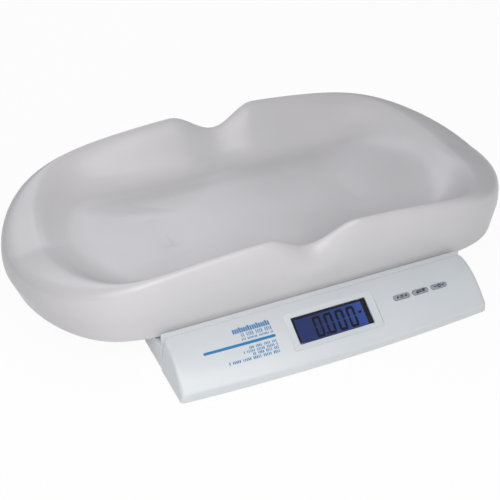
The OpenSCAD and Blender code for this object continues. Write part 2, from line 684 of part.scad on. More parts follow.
tray();
tray_carrier();
carrier_pads();
carrier_screws();
carrier_spacer();
load_cell();
strain_gauges();
base_spacer();
cell_screws();
base_plate();
plate_screws();
overload_stops();
base_cover();
base_pan();
feet();
housing_screws();
console_cover();
display_window();
lcd_frame();
lcd_glass();
zebra_strips();
backlight();
main_board();
board_chips();
board_connectors();
board_screws();
switch_tare();
switch_unit();
switch_power();
plunger_tare();
plunger_unit();
plunger_power();
button_tare();
button_unit();
button_power();
battery_cells();
battery_contacts();
battery_door();
load_cell_lead();
battery_lead();
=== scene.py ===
"""Looks of a digital baby weighing scale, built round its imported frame.

The classes hold their sizes in millimetres, in the part's own frame: +X along the tray, -Y towards the
console, +Z up. Blender works in metres, so points pass through metres() on their way into a mesh.
"""
import json
import logging
import math
from dataclasses import dataclass
from enum import Enum
from functools import partial
from typing import Any, Callable, Optional, Sequence

import bmesh
import bpy
import numpy as np
from mathutils import Matrix, Vector


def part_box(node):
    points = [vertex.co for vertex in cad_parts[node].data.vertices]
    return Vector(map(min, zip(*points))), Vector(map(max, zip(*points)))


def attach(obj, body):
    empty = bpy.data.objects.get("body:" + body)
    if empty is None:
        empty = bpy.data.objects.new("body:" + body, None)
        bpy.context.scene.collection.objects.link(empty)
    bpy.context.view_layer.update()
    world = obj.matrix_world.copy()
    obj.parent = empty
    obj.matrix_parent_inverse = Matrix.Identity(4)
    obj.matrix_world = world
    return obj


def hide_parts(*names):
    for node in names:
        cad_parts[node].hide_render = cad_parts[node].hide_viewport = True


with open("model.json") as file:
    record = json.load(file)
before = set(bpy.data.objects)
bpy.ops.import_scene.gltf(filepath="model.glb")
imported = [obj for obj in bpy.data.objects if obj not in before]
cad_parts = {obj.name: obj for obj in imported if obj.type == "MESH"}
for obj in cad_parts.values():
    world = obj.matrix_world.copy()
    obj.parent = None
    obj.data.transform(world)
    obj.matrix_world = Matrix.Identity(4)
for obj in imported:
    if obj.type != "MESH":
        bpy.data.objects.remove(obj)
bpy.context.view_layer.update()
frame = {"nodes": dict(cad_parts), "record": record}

LOG = logging.getLogger("baby_scale")
MM = 0.001
Outline = Callable[[float, float], np.ndarray]
Object = bpy.types.Object
Material = bpy.types.Material
Socket = bpy.types.NodeSocket
Tree = bpy.types.NodeTree


# ---------- small helpers ----------

def srgb(hex_colour: str, alpha: float = 1.0) -> tuple[float, float, float, float]:
    """Turns an sRGB hex colour into Blender's linear colour.

    Args:
        hex_colour: Six hex digits after a hash sign.
        alpha: Opacity.

    Returns:
        Linear red, green, blue and alpha.
    """
    channels = [int(hex_colour[i:i + 2], 16) / 255 for i in (1, 3, 5)]
    linear = [c / 12.92 if c <= 0.04045 else ((c + 0.055) / 1.055) ** 2.4 for c in channels]
    return (*linear, alpha)


def per_mm(size_mm: float) -> float:
    """Scale of a texture whose features are size_mm across, on coordinates in metres."""
    return 1 / (size_mm * MM)


def metres(points: Any) -> np.ndarray:
    """Millimetres to metres, as an array with a row for each point."""
    return np.asarray(points, float).reshape(-1, 3) * MM


def add_node(tree: Tree, kind: str, inputs: Optional[dict] = None, **settings: Any) -> bpy.types.Node:
    """Adds a node, sets its properties, and sets or links its inputs.

    Args:
        tree: The node tree.
        kind: The node's type name.
        inputs: Input name or index to a value, or to the output socket it is linked to.
        settings: Properties of the node.

    Returns:
        The new node.
    """
    new = tree.nodes.new(kind)
    for name, value in settings.items():
        setattr(new, name, value)
    for name, value in (inputs or {}).items():
        if isinstance(value, Socket):
            tree.links.new(value, new.inputs[name])
        else:
            new.inputs[name].default_value = value
    return new


def link_mesh(name: str, mesh: bpy.types.Mesh) -> Object:
    """Links a new object for a mesh, at the origin."""
    mesh.name = name
    made = bpy.data.objects.new(name, mesh)
    bpy.context.scene.collection.objects.link(made)
    return made


def mesh_object(name: str, points: Any, faces: Sequence[Sequence[int]]) -> Object:
    """Makes an object from points in millimetres.

    Args:
        name: Name of the object and of its mesh.
        points: Points, with a row for each.
        faces: Corner indices of each face.

    Returns:
        The linked object, at the origin.
    """
    mesh = bpy.data.meshes.new(name)
    mesh.from_pydata(metres(points).tolist(), [], [list(face) for face in faces])
    return link_mesh(name, mesh)


def baked(made: Object) -> Object:
    """Applies an object's modifiers and leaves it with a plain mesh.

    Args:
        made: An object with modifiers.

    Returns:
        The same object, with the evaluated mesh and no modifiers.
    """
    graph = bpy.context.evaluated_depsgraph_get()
    mesh = bpy.data.meshes.new_from_object(made.evaluated_get(graph))
    made.modifiers.clear()
    made.data = mesh
    mesh.name = made.name
    return made


def smooth(made: Object, angle: float = 35.0) -> Object:
    """Shades a mesh smooth, with sharp edges where faces meet at more than an angle in degrees."""
    made.data.shade_smooth()
    made.data.set_sharp_from_angle(angle=math.radians(angle))
    return made


def outwards(made: Object) -> Object:
    """Merges doubled points and turns every face outwards."""
    work = bmesh.new()
    work.from_mesh(made.data)
    bmesh.ops.remove_doubles(work, verts=work.verts, dist=1e-7)
    bmesh.ops.recalc_face_normals(work, faces=work.faces)
    work.to_mesh(made.data)
    work.free()
    return made


def ring_faces(rings: int, count: int) -> list[list[int]]:
    """Quads between closed rings that follow each other, with a cap on the first and on the last.

    Args:
        rings: Number of rings.
        count: Points in each ring.

    Returns:
        Faces, as lists of point indices.
    """
    faces = [list(range(count))[::-1]]
    for k in range(rings - 1):
        for i in range(count):
            j = (i + 1) % count
            faces.append([k * count + i, k * count + j, (k + 1) * count + j, (k + 1) * count + i])
    faces.append([(rings - 1) * count + i for i in range(count)])
    return faces


def rounded_rectangle(width: float, depth: float, radius: float, steps: int = 6) -> np.ndarray:
    """Outline of a rectangle with round corners, turning anticlockwise about its middle."""
    corners = [(1, 1, 0), (-1, 1, 90), (-1, -1, 180), (1, -1, 270)]
    turn = [(sx, sy, math.radians(start + 90 * k / steps))
            for sx, sy, start in corners for k in range(steps + 1)]
    return np.array([(sx * (width / 2 - radius) + radius * math.cos(t),
                      sy * (depth / 2 - radius) + radius * math.sin(t)) for sx, sy, t in turn])


def obround(length: float, width: float, steps: int = 14) -> np.ndarray:
    """Outline with two straight sides and two half-round ends."""
    return rounded_rectangle(length, width, width / 2 - 1e-3, steps)


def loft(name: str, outlines: Sequence[tuple[np.ndarray, float]]) -> Object:
    """A solid through flat outlines of equally many points.

    Args:
        name: Name of the object.
        outlines: Each outline with its height, from the lowest up.

    Returns:
        The closed object.
    """
    count = len(outlines[0][0])
    points = [(x, y, z) for outline, z in outlines for x, y in outline]
    return mesh_object(name, points, ring_faces(len(outlines), count))


def placed(made: Object, place: Matrix) -> Object:
    """Moves an object's mesh by a matrix in millimetres, and leaves the object at the origin."""
    scaled = place.copy()
    scaled.translation = place.translation * MM
    made.data.transform(scaled)
    return made


def cut(made: Object, tools: Sequence[Object], operation: str = "DIFFERENCE") -> Object:
    """Cuts tools out of an object, or adds them to it, and removes the tools.

    Args:
        made: The object to change.
        tools: Closed objects.
        operation: Name of the boolean operation.

    Returns:
        The changed object, as a plain mesh.
    """
    for tool in tools:
        modifier = made.modifiers.new("cut", "BOOLEAN")
        modifier.operation = operation
        modifier.solver = "EXACT"
        modifier.object = tool
    baked(made)
    for tool in tools:
        bpy.data.objects.remove(tool)
    return made


def block(name: str, size: tuple[float, float, float]) -> Object:
    """A block about the origin, as a tool for cutting."""
    x, y, z = (c / 2 for c in size)
    outline = np.array([(x, y), (-x, y), (-x, -y), (x, -y)])
    return loft(name, [(outline, -z), (outline, z)])


def join(name: str, parts: Sequence[Object]) -> Object:
    """Joins objects that have one material, that of the first, into one.

    Args:
        name: Name of the result.
        parts: Objects at the origin, which are removed.

    Returns:
        The joined object.
    """
    work = bmesh.new()
    for part in parts:
        work.from_mesh(part.data)
    mesh = bpy.data.meshes.new(name)
    work.to_mesh(mesh)
    work.free()
    for face in mesh.polygons:
        face.material_index = 0
    for material in parts[0].data.materials:
        mesh.materials.append(material)
    for part in parts:
        bpy.data.objects.remove(part)
    return link_mesh(name, mesh)


def triangulate(made: Object) -> None:
    """Splits an object's faces into triangles."""
    work = bmesh.new()
    work.from_mesh(made.data)
    bmesh.ops.triangulate(work, faces=work.faces)
    work.to_mesh(made.data)
    work.free()


def dress(made: Object, body: str, material: Optional[Material] = None,
          stands_for: Sequence[str] = ()) -> None:
    """Gives a finished piece its material and body, and reports it.

    Args:
        made: The piece.
        body: CAD body that it moves with.
        material: Material, unless the mesh has its own already.
        stands_for: CAD nodes that it replaces.
    """
    if material:
        made.data.materials.clear()
        made.data.materials.append(material)
    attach(made, body)
    if stands_for:
        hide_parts(*stands_for)
    LOG.info("%s rides on %s, %d faces", made.name, body, len(made.data.polygons))


# ---------- finishes ----------

@dataclass(frozen=True)
class Finish:
    """What every finish has. A subclass adds its own nodes in dress_shader."""

    name: str
    colour: str
    roughness: float = 0.5

    def material(self) -> Material:
        """Makes the material, or returns it if it is there already."""
        found = bpy.data.materials.get(self.name)
        if found:
            return found
        made = bpy.data.materials.new(self.name)
        made.use_nodes = True
        shader = made.node_tree.nodes["Principled BSDF"]
        shader.inputs["Base Color"].default_value = srgb(self.colour)
        shader.inputs["Roughness"].default_value = self.roughness
        where = add_node(made.node_tree, "ShaderNodeTexCoord").outputs["Object"]
        self.dress_shader(made.node_tree, shader, where)
        return made

    def dress_shader(self, tree: Tree, shader: bpy.types.Node, where: Socket) -> None:
        """Adds the finish's own nodes.

        Args:
            tree: The material's node tree.
            shader: Its principled shader.
            where: Object coordinates.
        """

    @staticmethod
    def mix(tree: Tree, share: Socket, first: str, second: str) -> Socket:
        """Mixes two colours by a share between 0 and 1."""
        node = add_node(tree, "ShaderNodeMix", {0: share, 6: srgb(first), 7: srgb(second)}, data_type="RGBA")
        return node.outputs[2]

    @staticmethod
    def noise(tree: Tree, where: Socket, size_mm: float, low: float, high: float,
              detail: float = 3.0) -> Socket:
        """Soft noise of a real size, stretched so that it runs between two values."""
        source = add_node(tree, "ShaderNodeTexNoise", {
            "Vector": where, "Scale": per_mm(size_mm), "Detail": detail})
        spread = add_node(tree, "ShaderNodeMapRange", {"Value": source.outputs["Fac"], "From Min": 0.3,
                                                       "From Max": 0.7, "To Min": low, "To Max": high})
        return spread.outputs["Result"]

    @staticmethod
    def bump(tree: Tree, shader: bpy.types.Node, height: Socket, depth_mm: float) -> None:
        """Raises the surface by a height pattern of a real depth."""
        node = add_node(tree, "ShaderNodeBump", {"Height": height, "Distance": depth_mm * MM})
        tree.links.new(node.outputs["Normal"], shader.inputs["Normal"])


@dataclass(frozen=True)
class MouldedPlastic(Finish):
    """Injection-moulded ABS: soft gloss off the mould, a faint drift of colour, fine grain."""

    drift: str = "#ffffff"
    drift_mm: float = 90.0
    grain_mm: float = 1.2
    grain_depth_mm: float = 0.012
    coat: float = 0.25
    coat_roughness: float = 0.12

    def dress_shader(self, tree: Tree, shader: bpy.types.Node, where: Socket) -> None:
        """Adds the drift of colour, uneven gloss and grain."""
        drifted = self.mix(tree, self.noise(tree, where, self.drift_mm, 0, 1), self.colour, self.drift)
        tree.links.new(drifted, shader.inputs["Base Color"])
        gloss = self.noise(tree, where, self.drift_mm / 3, self.roughness - 0.03, self.roughness + 0.03)
        tree.links.new(gloss, shader.inputs["Roughness"])
        shader.inputs["IOR"].default_value = 1.5
        shader.inputs["Coat Weight"].default_value = self.coat
        shader.inputs["Coat Roughness"].default_value = self.coat_roughness
        self.bump(tree, shader, self.noise(tree, where, self.grain_mm, 0, 1, 2.0), self.grain_depth_mm)


@dataclass(frozen=True)
class ClearAcrylic(Finish):
    """Clear moulded acrylic as a thin sheet: light passes through, and its polish sends a little back."""

    sent_back: float = 0.03

    def dress_shader(self, tree: Tree, shader: bpy.types.Node, where: Socket) -> None:
        """Keeps only the polish, at its small share, with gloss that varies as wiped plastic does."""
        shader.inputs["Metallic"].default_value = 1.0
        shader.inputs["Alpha"].default_value = self.sent_back
        wiped = self.noise(tree, where, 14.0, self.roughness, self.roughness + 0.03)
        tree.links.new(wiped, shader.inputs["Roughness"])


@dataclass(frozen=True)
class BacklitGlass(Finish):
    """Liquid-crystal glass lit from one side: deep blue, brighter towards the lamp."""

    bright: str = "#304890"
    left_mm: float = -42.0
    right_mm: float = 41.0
    steepness: float = 2.2
    glow: float = 0.45

    def dress_shader(self, tree: Tree, shader: bpy.types.Node, where: Socket) -> None:
        """Runs the glow from the dark side to the lamp's side."""
        apart = add_node(tree, "ShaderNodeSeparateXYZ", {0: where})
        along = add_node(tree, "ShaderNodeMapRange", {
            "Value": apart.outputs["X"], "From Min": self.left_mm * MM, "From Max": self.right_mm * MM})
        steep = add_node(tree, "ShaderNodeMath", {0: along.outputs["Result"], 1: self.steepness},
                         operation="POWER")
        uneven = self.noise(tree, where, 22.0, -0.06, 0.06)
        share = add_node(tree, "ShaderNodeMath", {0: steep.outputs[0], 1: uneven},
                         operation="ADD", use_clamp=True)
        lit = self.mix(tree, share.outputs[0], self.colour, self.bright)
        tree.links.new(lit, shader.inputs["Base Color"])
        tree.links.new(lit, shader.inputs["Emission Color"])
        shader.inputs["Emission Strength"].default_value = self.glow
        shader.inputs["Specular IOR Level"].default_value = 0.2


@dataclass(frozen=True)
class ScreenInk(Finish):
    """Screen-printed ink: thin, even and satin, with the slight mottling of the mesh."""

    mottle: str = "#ffffff"

    def dress_shader(self, tree: Tree, shader: bpy.types.Node, where: Socket) -> None:
        """Mottles the ink and keeps its shine low."""
        shader.inputs["Specular IOR Level"].default_value = 0.2
        share = self.noise(tree, where, 1.5, 0.0, 0.25)
        tree.links.new(self.mix(tree, share, self.colour, self.mottle), shader.inputs["Base Color"])


@dataclass(frozen=True)
class SoftRubber(Finish):
    """Moulded rubber: matt and dark, with a dusty bloom and a fine pebbled skin."""

    bloom: str = "#5a5d60"

    def dress_shader(self, tree: Tree, shader: bpy.types.Node, where: Socket) -> None:
        """Adds the bloom and the pebbled skin."""
        share = self.noise(tree, where, 9.0, 0.0, 0.6)
        tree.links.new(self.mix(tree, share, self.colour, self.bloom), shader.inputs["Base Color"])
        self.bump(tree, shader, self.noise(tree, where, 0.7, 0, 1, 2.0), 0.05)


@dataclass(frozen=True)
class DrawnMetal(Finish):
    """Rolled or milled metal: fine lines along X from the rolls or the cutter."""

    line_mm: float = 0.5
    stain: str = "#8f9498"

    def dress_shader(self, tree: Tree, shader: bpy.types.Node, where: Socket) -> None:
        """Stretches noise into lines for the gloss and the bump."""
        shader.inputs["Metallic"].default_value = 1.0
        drawn = add_node(tree, "ShaderNodeMapping", {"Vector": where, "Scale": (0.04, 1.0, 1.0)})
        lines = self.noise(tree, drawn.outputs["Vector"], self.line_mm, 0, 1, 2.0)
        gloss = add_node(tree, "ShaderNodeMapRange", {
            "Value": lines, "To Min": self.roughness - 0.08, "To Max": self.roughness + 0.1})
        tree.links.new(gloss.outputs["Result"], shader.inputs["Roughness"])
        share = self.noise(tree, where, 18.0, 0.0, 0.5)
        tree.links.new(self.mix(tree, share, self.colour, self.stain), shader.inputs["Base Color"])
        self.bump(tree, shader, lines, 0.01)


@dataclass(frozen=True)
class BoardLaminate(Finish):
    """Glass-fibre board under green solder mask: tracks show as slightly lighter strips."""

    track: str = "#2f8a5a"
    track_mm: float = 1.6

    def dress_shader(self, tree: Tree, shader: bpy.types.Node, where: Socket) -> None:
        """Draws the tracks as bent bands."""
        bands = add_node(tree, "ShaderNodeTexWave", {"Vector": where, "Scale": per_mm(self.track_mm) / 6,
                                                     "Distortion": 6.0, "Detail": 0.0})
        hard = add_node(tree, "ShaderNodeMapRange", {
            "Value": bands.outputs["Fac"], "From Min": 0.5, "From Max": 0.55})
        colours = self.mix(tree, hard.outputs["Result"], self.colour, self.track)
        tree.links.new(colours, shader.inputs["Base Color"])
        self.bump(tree, shader, hard.outputs["Result"], 0.03)


TRAY_ABS = MouldedPlastic("tray_moulded_abs", "#d7d5d8", 0.42, drift="#d2d1d4", coat=0.3, coat_roughness=0.22)
COVER_ABS = MouldedPlastic("cover_moulded_abs", "#dde2e6", 0.36, drift="#d8dee3", coat=0.15, grain_mm=0.9)
PAN_ABS = MouldedPlastic("pan_textured_abs", "#d6dadc", 0.55, drift="#cdd2d5", coat=0.0, grain_depth_mm=0.03)
KEY_ABS = MouldedPlastic("key_moulded_abs", "#a3a7b0", 0.42, drift="#9b9fa9", drift_mm=12.0, coat=0.1)
BLACK_ABS = MouldedPlastic("black_moulded_abs", "#1b1c20", 0.45, drift="#232429", drift_mm=20.0, coat=0.0)
NYLON = MouldedPlastic("connector_nylon", "#e8e5da", 0.5, drift="#dcd8ca", drift_mm=8.0, coat=0.0)
SLEEVE = MouldedPlastic("cell_shrink_sleeve", "#3d6fb0", 0.3, drift="#3565a4", drift_mm=15.0, coat=0.4)
LEAD_GREY = MouldedPlastic("lead_jacket_grey", "#77797c", 0.5, drift="#6c6e71", drift_mm=15.0, coat=0.0)
LEAD_RED = MouldedPlastic("lead_jacket_red", "#a33a34", 0.45, drift="#92322d", drift_mm=15.0, coat=0.0)
DIFFUSER = MouldedPlastic("light_guide_acrylic", "#dfe8ff", 0.4, drift="#d3defa", drift_mm=15.0, coat=0.1)
ELASTOMER = SoftRubber("connector_elastomer", "#e0a2a8", 0.6, bloom="#cf9198")
RUBBER = SoftRubber("black_rubber", "#34373a", 0.75)
GAUGE_FILM = MouldedPlastic("gauge_polyimide_film", "#c98a2b", 0.35, drift="#b97c22", drift_mm=5.0, coat=0.2)
ALUMINIUM = DrawnMetal("milled_aluminium", "#c9ccd0", 0.32, stain="#b4b8bd")
ZINC_SHEET = DrawnMetal("zinc_plated_sheet", "#aab0b5", 0.34)
ZINC_SCREW = DrawnMetal("zinc_plated_screw", "#bcc0c4", 0.28, line_mm=0.3)
NICKEL = DrawnMetal("nickel_spring_steel", "#c9c8c1", 0.22, stain="#b5b3aa")
LAMINATE = BoardLaminate("glass_fibre_board", "#1c6b43", 0.4)
WINDOW = ClearAcrylic("clear_acrylic_window", "#f2f6ff", 0.06)
DISPLAY = BacklitGlass("backlit_display_glass", "#212c5a", 0.3)
BLUE_INK = ScreenInk("blue_screen_ink", "#2f80ba", 0.5, mottle="#559bc9")
DARK_INK = ScreenInk("dark_screen_ink", "#101116", 0.5, mottle="#24262d")
MASK_INK = ScreenInk("black_mask_ink", "#08090c", 0.5, mottle="#14161b")
CRYSTAL = ScreenInk("switched_liquid_crystal", "#03050c", 0.5, mottle="#070915")


# ---------- geometry node trees ----------

class SocketKind(Enum):
    """Socket types that the trees take as named inputs."""

    LENGTH = "NodeSocketFloat"
    COUNT = "NodeSocketInt"
    FINISH = "NodeSocketMaterial"


class RepeatTree:
    """A geometry node tree with named inputs, that ends in Realize Instances and Set Material."""

    def __init__(self, name: str, lengths: Sequence[str], counts: Sequence[str] = ()) -> None:
        """Starts the tree.

        Args:
            name: Name of the tree.
            lengths: Names of the inputs that are lengths or factors.
            counts: Names of the inputs that are whole numbers.
        """
        self.tree = bpy.data.node_groups.new(name, "GeometryNodeTree")
        self.tree.interface.new_socket("Geometry", in_out="INPUT", socket_type="NodeSocketGeometry")
        for labels, kind in ((lengths, SocketKind.LENGTH), (counts, SocketKind.COUNT),
                             (["Finish"], SocketKind.FINISH)):
            for label in labels:
                self.tree.interface.new_socket(label, in_out="INPUT", socket_type=kind.value)
        self.tree.interface.new_socket("Geometry", in_out="OUTPUT", socket_type="NodeSocketGeometry")
        self.given = add_node(self.tree, "NodeGroupInput").outputs

    def node(self, kind: str, inputs: Optional[dict] = None, **settings: Any) -> bpy.types.NodeOutputs:
        """Adds a node and returns its outputs."""
        return add_node(self.tree, kind, inputs, **settings).outputs

    def maths(self, operation: str, first: Any, second: Any = 0.0) -> Socket:
        """One step of arithmetic."""
        return self.node("ShaderNodeMath", {0: first, 1: second}, operation=operation)[0]

    def vector(self, x: Any = 0.0, y: Any = 0.0, z: Any = 0.0) -> Socket:
        """A vector from three numbers or sockets."""
        return self.node("ShaderNodeCombineXYZ", {0: x, 1: y, 2: z})[0]

    def join(self, *parts: Socket) -> Socket:
        """Joins geometries."""
        made = add_node(self.tree, "GeometryNodeJoinGeometry")
        for part in parts:
            self.tree.links.new(part, made.inputs[0])
        return made.outputs[0]

    def close(self, geometry: Socket) -> None:
        """Realizes the instances, sets the material and ends the tree."""
        real = self.node("GeometryNodeRealizeInstances", {0: geometry})[0]
        done = self.node("GeometryNodeSetMaterial", {"Geometry": real, "Material": self.given["Finish"]})[0]
        add_node(self.tree, "NodeGroupOutput", {0: done})

    def run(self, name: str, finish: Finish, source: Any = ((0.0, 0.0, 0.0),), **values: float) -> Object:
        """Runs the tree and returns its result as a plain mesh.

        Args:
            name: Name of the object.
            finish: Finish of the result.
            source: Points in millimetres that the tree starts from.
            values: Input names, with spaces written as underscores, and their values.

        Returns:
            The object, at the origin.
        """
        made = mesh_object(name, source, [])
        modifier = made.modifiers.new("repeat", "NODES")
        modifier.node_group = self.tree
        wanted = {key.replace("_", " "): value for key, value in values.items()}
        wanted["Finish"] = finish.material()
        for item in self.tree.interface.items_tree:
            if item.in_out == "INPUT" and item.name in wanted:
                modifier[item.identifier] = wanted[item.name]
        return baked(made)


def print_row_tree() -> RepeatTree:
    """Builds the tree of a row of small printed bars on a line, with some taller ones and some gaps."""
    made = RepeatTree("print_row", ["Pitch", "Bar Width", "Bar Height", "Tall Scale", "Unevenness"],
                      ["Count", "Tall Every", "Gap Every", "Seed"])
    given = made.given
    line = made.node("GeometryNodeMeshLine", {"Count": given["Count"], "Offset": made.vector(given["Pitch"])})
    bar = made.node("GeometryNodeCurvePrimitiveQuadrilateral", {
        0: given["Bar Width"], 1: given["Bar Height"]})
    lifted = made.node("GeometryNodeTransform", {0: bar[0], "Translation": made.vector(
        0.0, made.maths("MULTIPLY", given["Bar Height"], 0.5))})
    filled = made.node("GeometryNodeFillCurve", {0: lifted[0]})
    index = made.node("GeometryNodeInputIndex")[0]
    turn = made.maths("MODULO", index, given["Tall Every"])
    tall = made.maths("LESS_THAN", turn, 0.5)
    extra = made.maths("SUBTRACT", given["Tall Scale"], 1.0)
    high = made.maths("ADD", 1.0, made.maths("MULTIPLY", tall, extra))
    chance = made.node("FunctionNodeRandomValue", {"Seed": given["Seed"]})[1]
    wide = made.maths("SUBTRACT", 1.0, made.maths("MULTIPLY", chance, given["Unevenness"]))
    seeded = made.maths("ADD", index, given["Seed"])
    kept = made.maths("GREATER_THAN", made.maths("MODULO", seeded, given["Gap Every"]), 0.5)
    fine = made.node("GeometryNodeSubdivideMesh", {"Mesh": filled[0], "Level": 2})
    copies = made.node("GeometryNodeInstanceOnPoints", {
        "Points": line[0], "Selection": kept, "Instance": fine[0], "Scale": made.vector(wide, high, 1.0)})
    made.close(copies[0])
    return made


def figure_tree() -> RepeatTree:
    """Builds the tree of a row of seven-segment noughts, leaning to the right."""
    made = RepeatTree("segment_noughts", [
        "Pitch", "Figure Width", "Figure Height", "Stroke", "Gap", "Slant"], ["Digits"])
    given = made.given
    half = made.maths("MULTIPLY", given["Figure Height"], 0.5)
    upright_length = made.maths("SUBTRACT", half, given["Gap"])
    overhang = made.maths("MULTIPLY", given["Stroke"], 0.6)
    flat_length = made.maths("ADD", given["Figure Width"], overhang)
    bars = []
    for width, height in ((given["Stroke"], upright_length), (flat_length, given["Stroke"])):
        outline = made.node("GeometryNodeCurvePrimitiveQuadrilateral", {0: width, 1: height})
        pointed = made.node("GeometryNodeFilletCurve", {
            "Curve": outline[0], "Radius": made.maths("MULTIPLY", given["Stroke"], 0.35)}, mode="POLY")
        bars.append(made.node("GeometryNodeFillCurve", {0: pointed[0]})[0])
    grid = made.node("GeometryNodeMeshGrid", {"Size X": given["Figure Width"], "Size Y": half,
                                              "Vertices X": 2, "Vertices Y": 2})
    ends = made.node("GeometryNodeMeshLine", {
        "Count": 2, "Start Location": made.vector(0.0, made.maths("MULTIPLY", half, -1.0)),
        "Offset": made.vector(0.0, given["Figure Height"])})
    uprights = made.node("GeometryNodeInstanceOnPoints", {"Points": grid[0], "Instance": bars[0]})
    flats = made.node("GeometryNodeInstanceOnPoints", {"Points": ends[0], "Instance": bars[1]})
    nought = made.join(uprights[0], flats[0])
    row = made.node("GeometryNodeMeshLine", {"Count": given["Digits"], "Offset": made.vector(given["Pitch"])})
    copies = made.node("GeometryNodeInstanceOnPoints", {"Points": row[0], "Instance": nought})
    real = made.node("GeometryNodeRealizeInstances", {0: copies[0]})
    height_above = made.node("ShaderNodeSeparateXYZ", {0: made.node("GeometryNodeInputPosition")[0]})["Y"]
    lean = made.vector(made.maths("MULTIPLY", height_above, given["Slant"]))
    leaning = made.node("GeometryNodeSetPosition", {0: real[0], "Offset": lean})
    made.close(leaning[0])
    return made


def screw_tree() -> RepeatTree:
    """Builds the tree of screw heads with a cross recess, one on each point, that face downwards."""
    made = RepeatTree("screw_heads", [
        "Head Diameter", "Head Height", "Recess Width", "Recess Depth", "Shank Diameter", "Shank Length"])
    given = made.given
    head_r = made.maths("MULTIPLY", given["Head Diameter"], 0.5)
    head = made.node("GeometryNodeMeshCone", {
        "Vertices": 32, "Radius Top": head_r, "Radius Bottom": made.maths("MULTIPLY", head_r, 0.86),
        "Depth": given["Head Height"]})
    span = made.maths("MULTIPLY", given["Head Diameter"], 0.62)
    twice = made.maths("MULTIPLY", given["Recess Depth"], 2.0)
    arms = [made.node("GeometryNodeMeshCube", {"Size": made.vector(*size)})[0]
            for size in ((span, given["Recess Width"], twice), (given["Recess Width"], span, twice))]
    crossed = made.node("GeometryNodeMeshBoolean", {"Mesh 1": head[0], "Mesh 2": made.join(*arms)})
    shank = made.node("GeometryNodeMeshCylinder", {
        "Vertices": 24, "Radius": made.maths("MULTIPLY", given["Shank Diameter"], 0.5),
        "Depth": given["Shank Length"]})
    above = made.maths("ADD", given["Head Height"], made.maths("MULTIPLY", given["Shank Length"], 0.5))
    seated = made.node("GeometryNodeTransform", {0: shank[0], "Translation": made.vector(0.0, 0.0, above)})
    copies = made.node("GeometryNodeInstanceOnPoints", {"Points": given["Geometry"],
                                                        "Instance": made.join(crossed[0], seated[0])})
    made.close(copies[0])
    return made


# ---------- the tray ----------

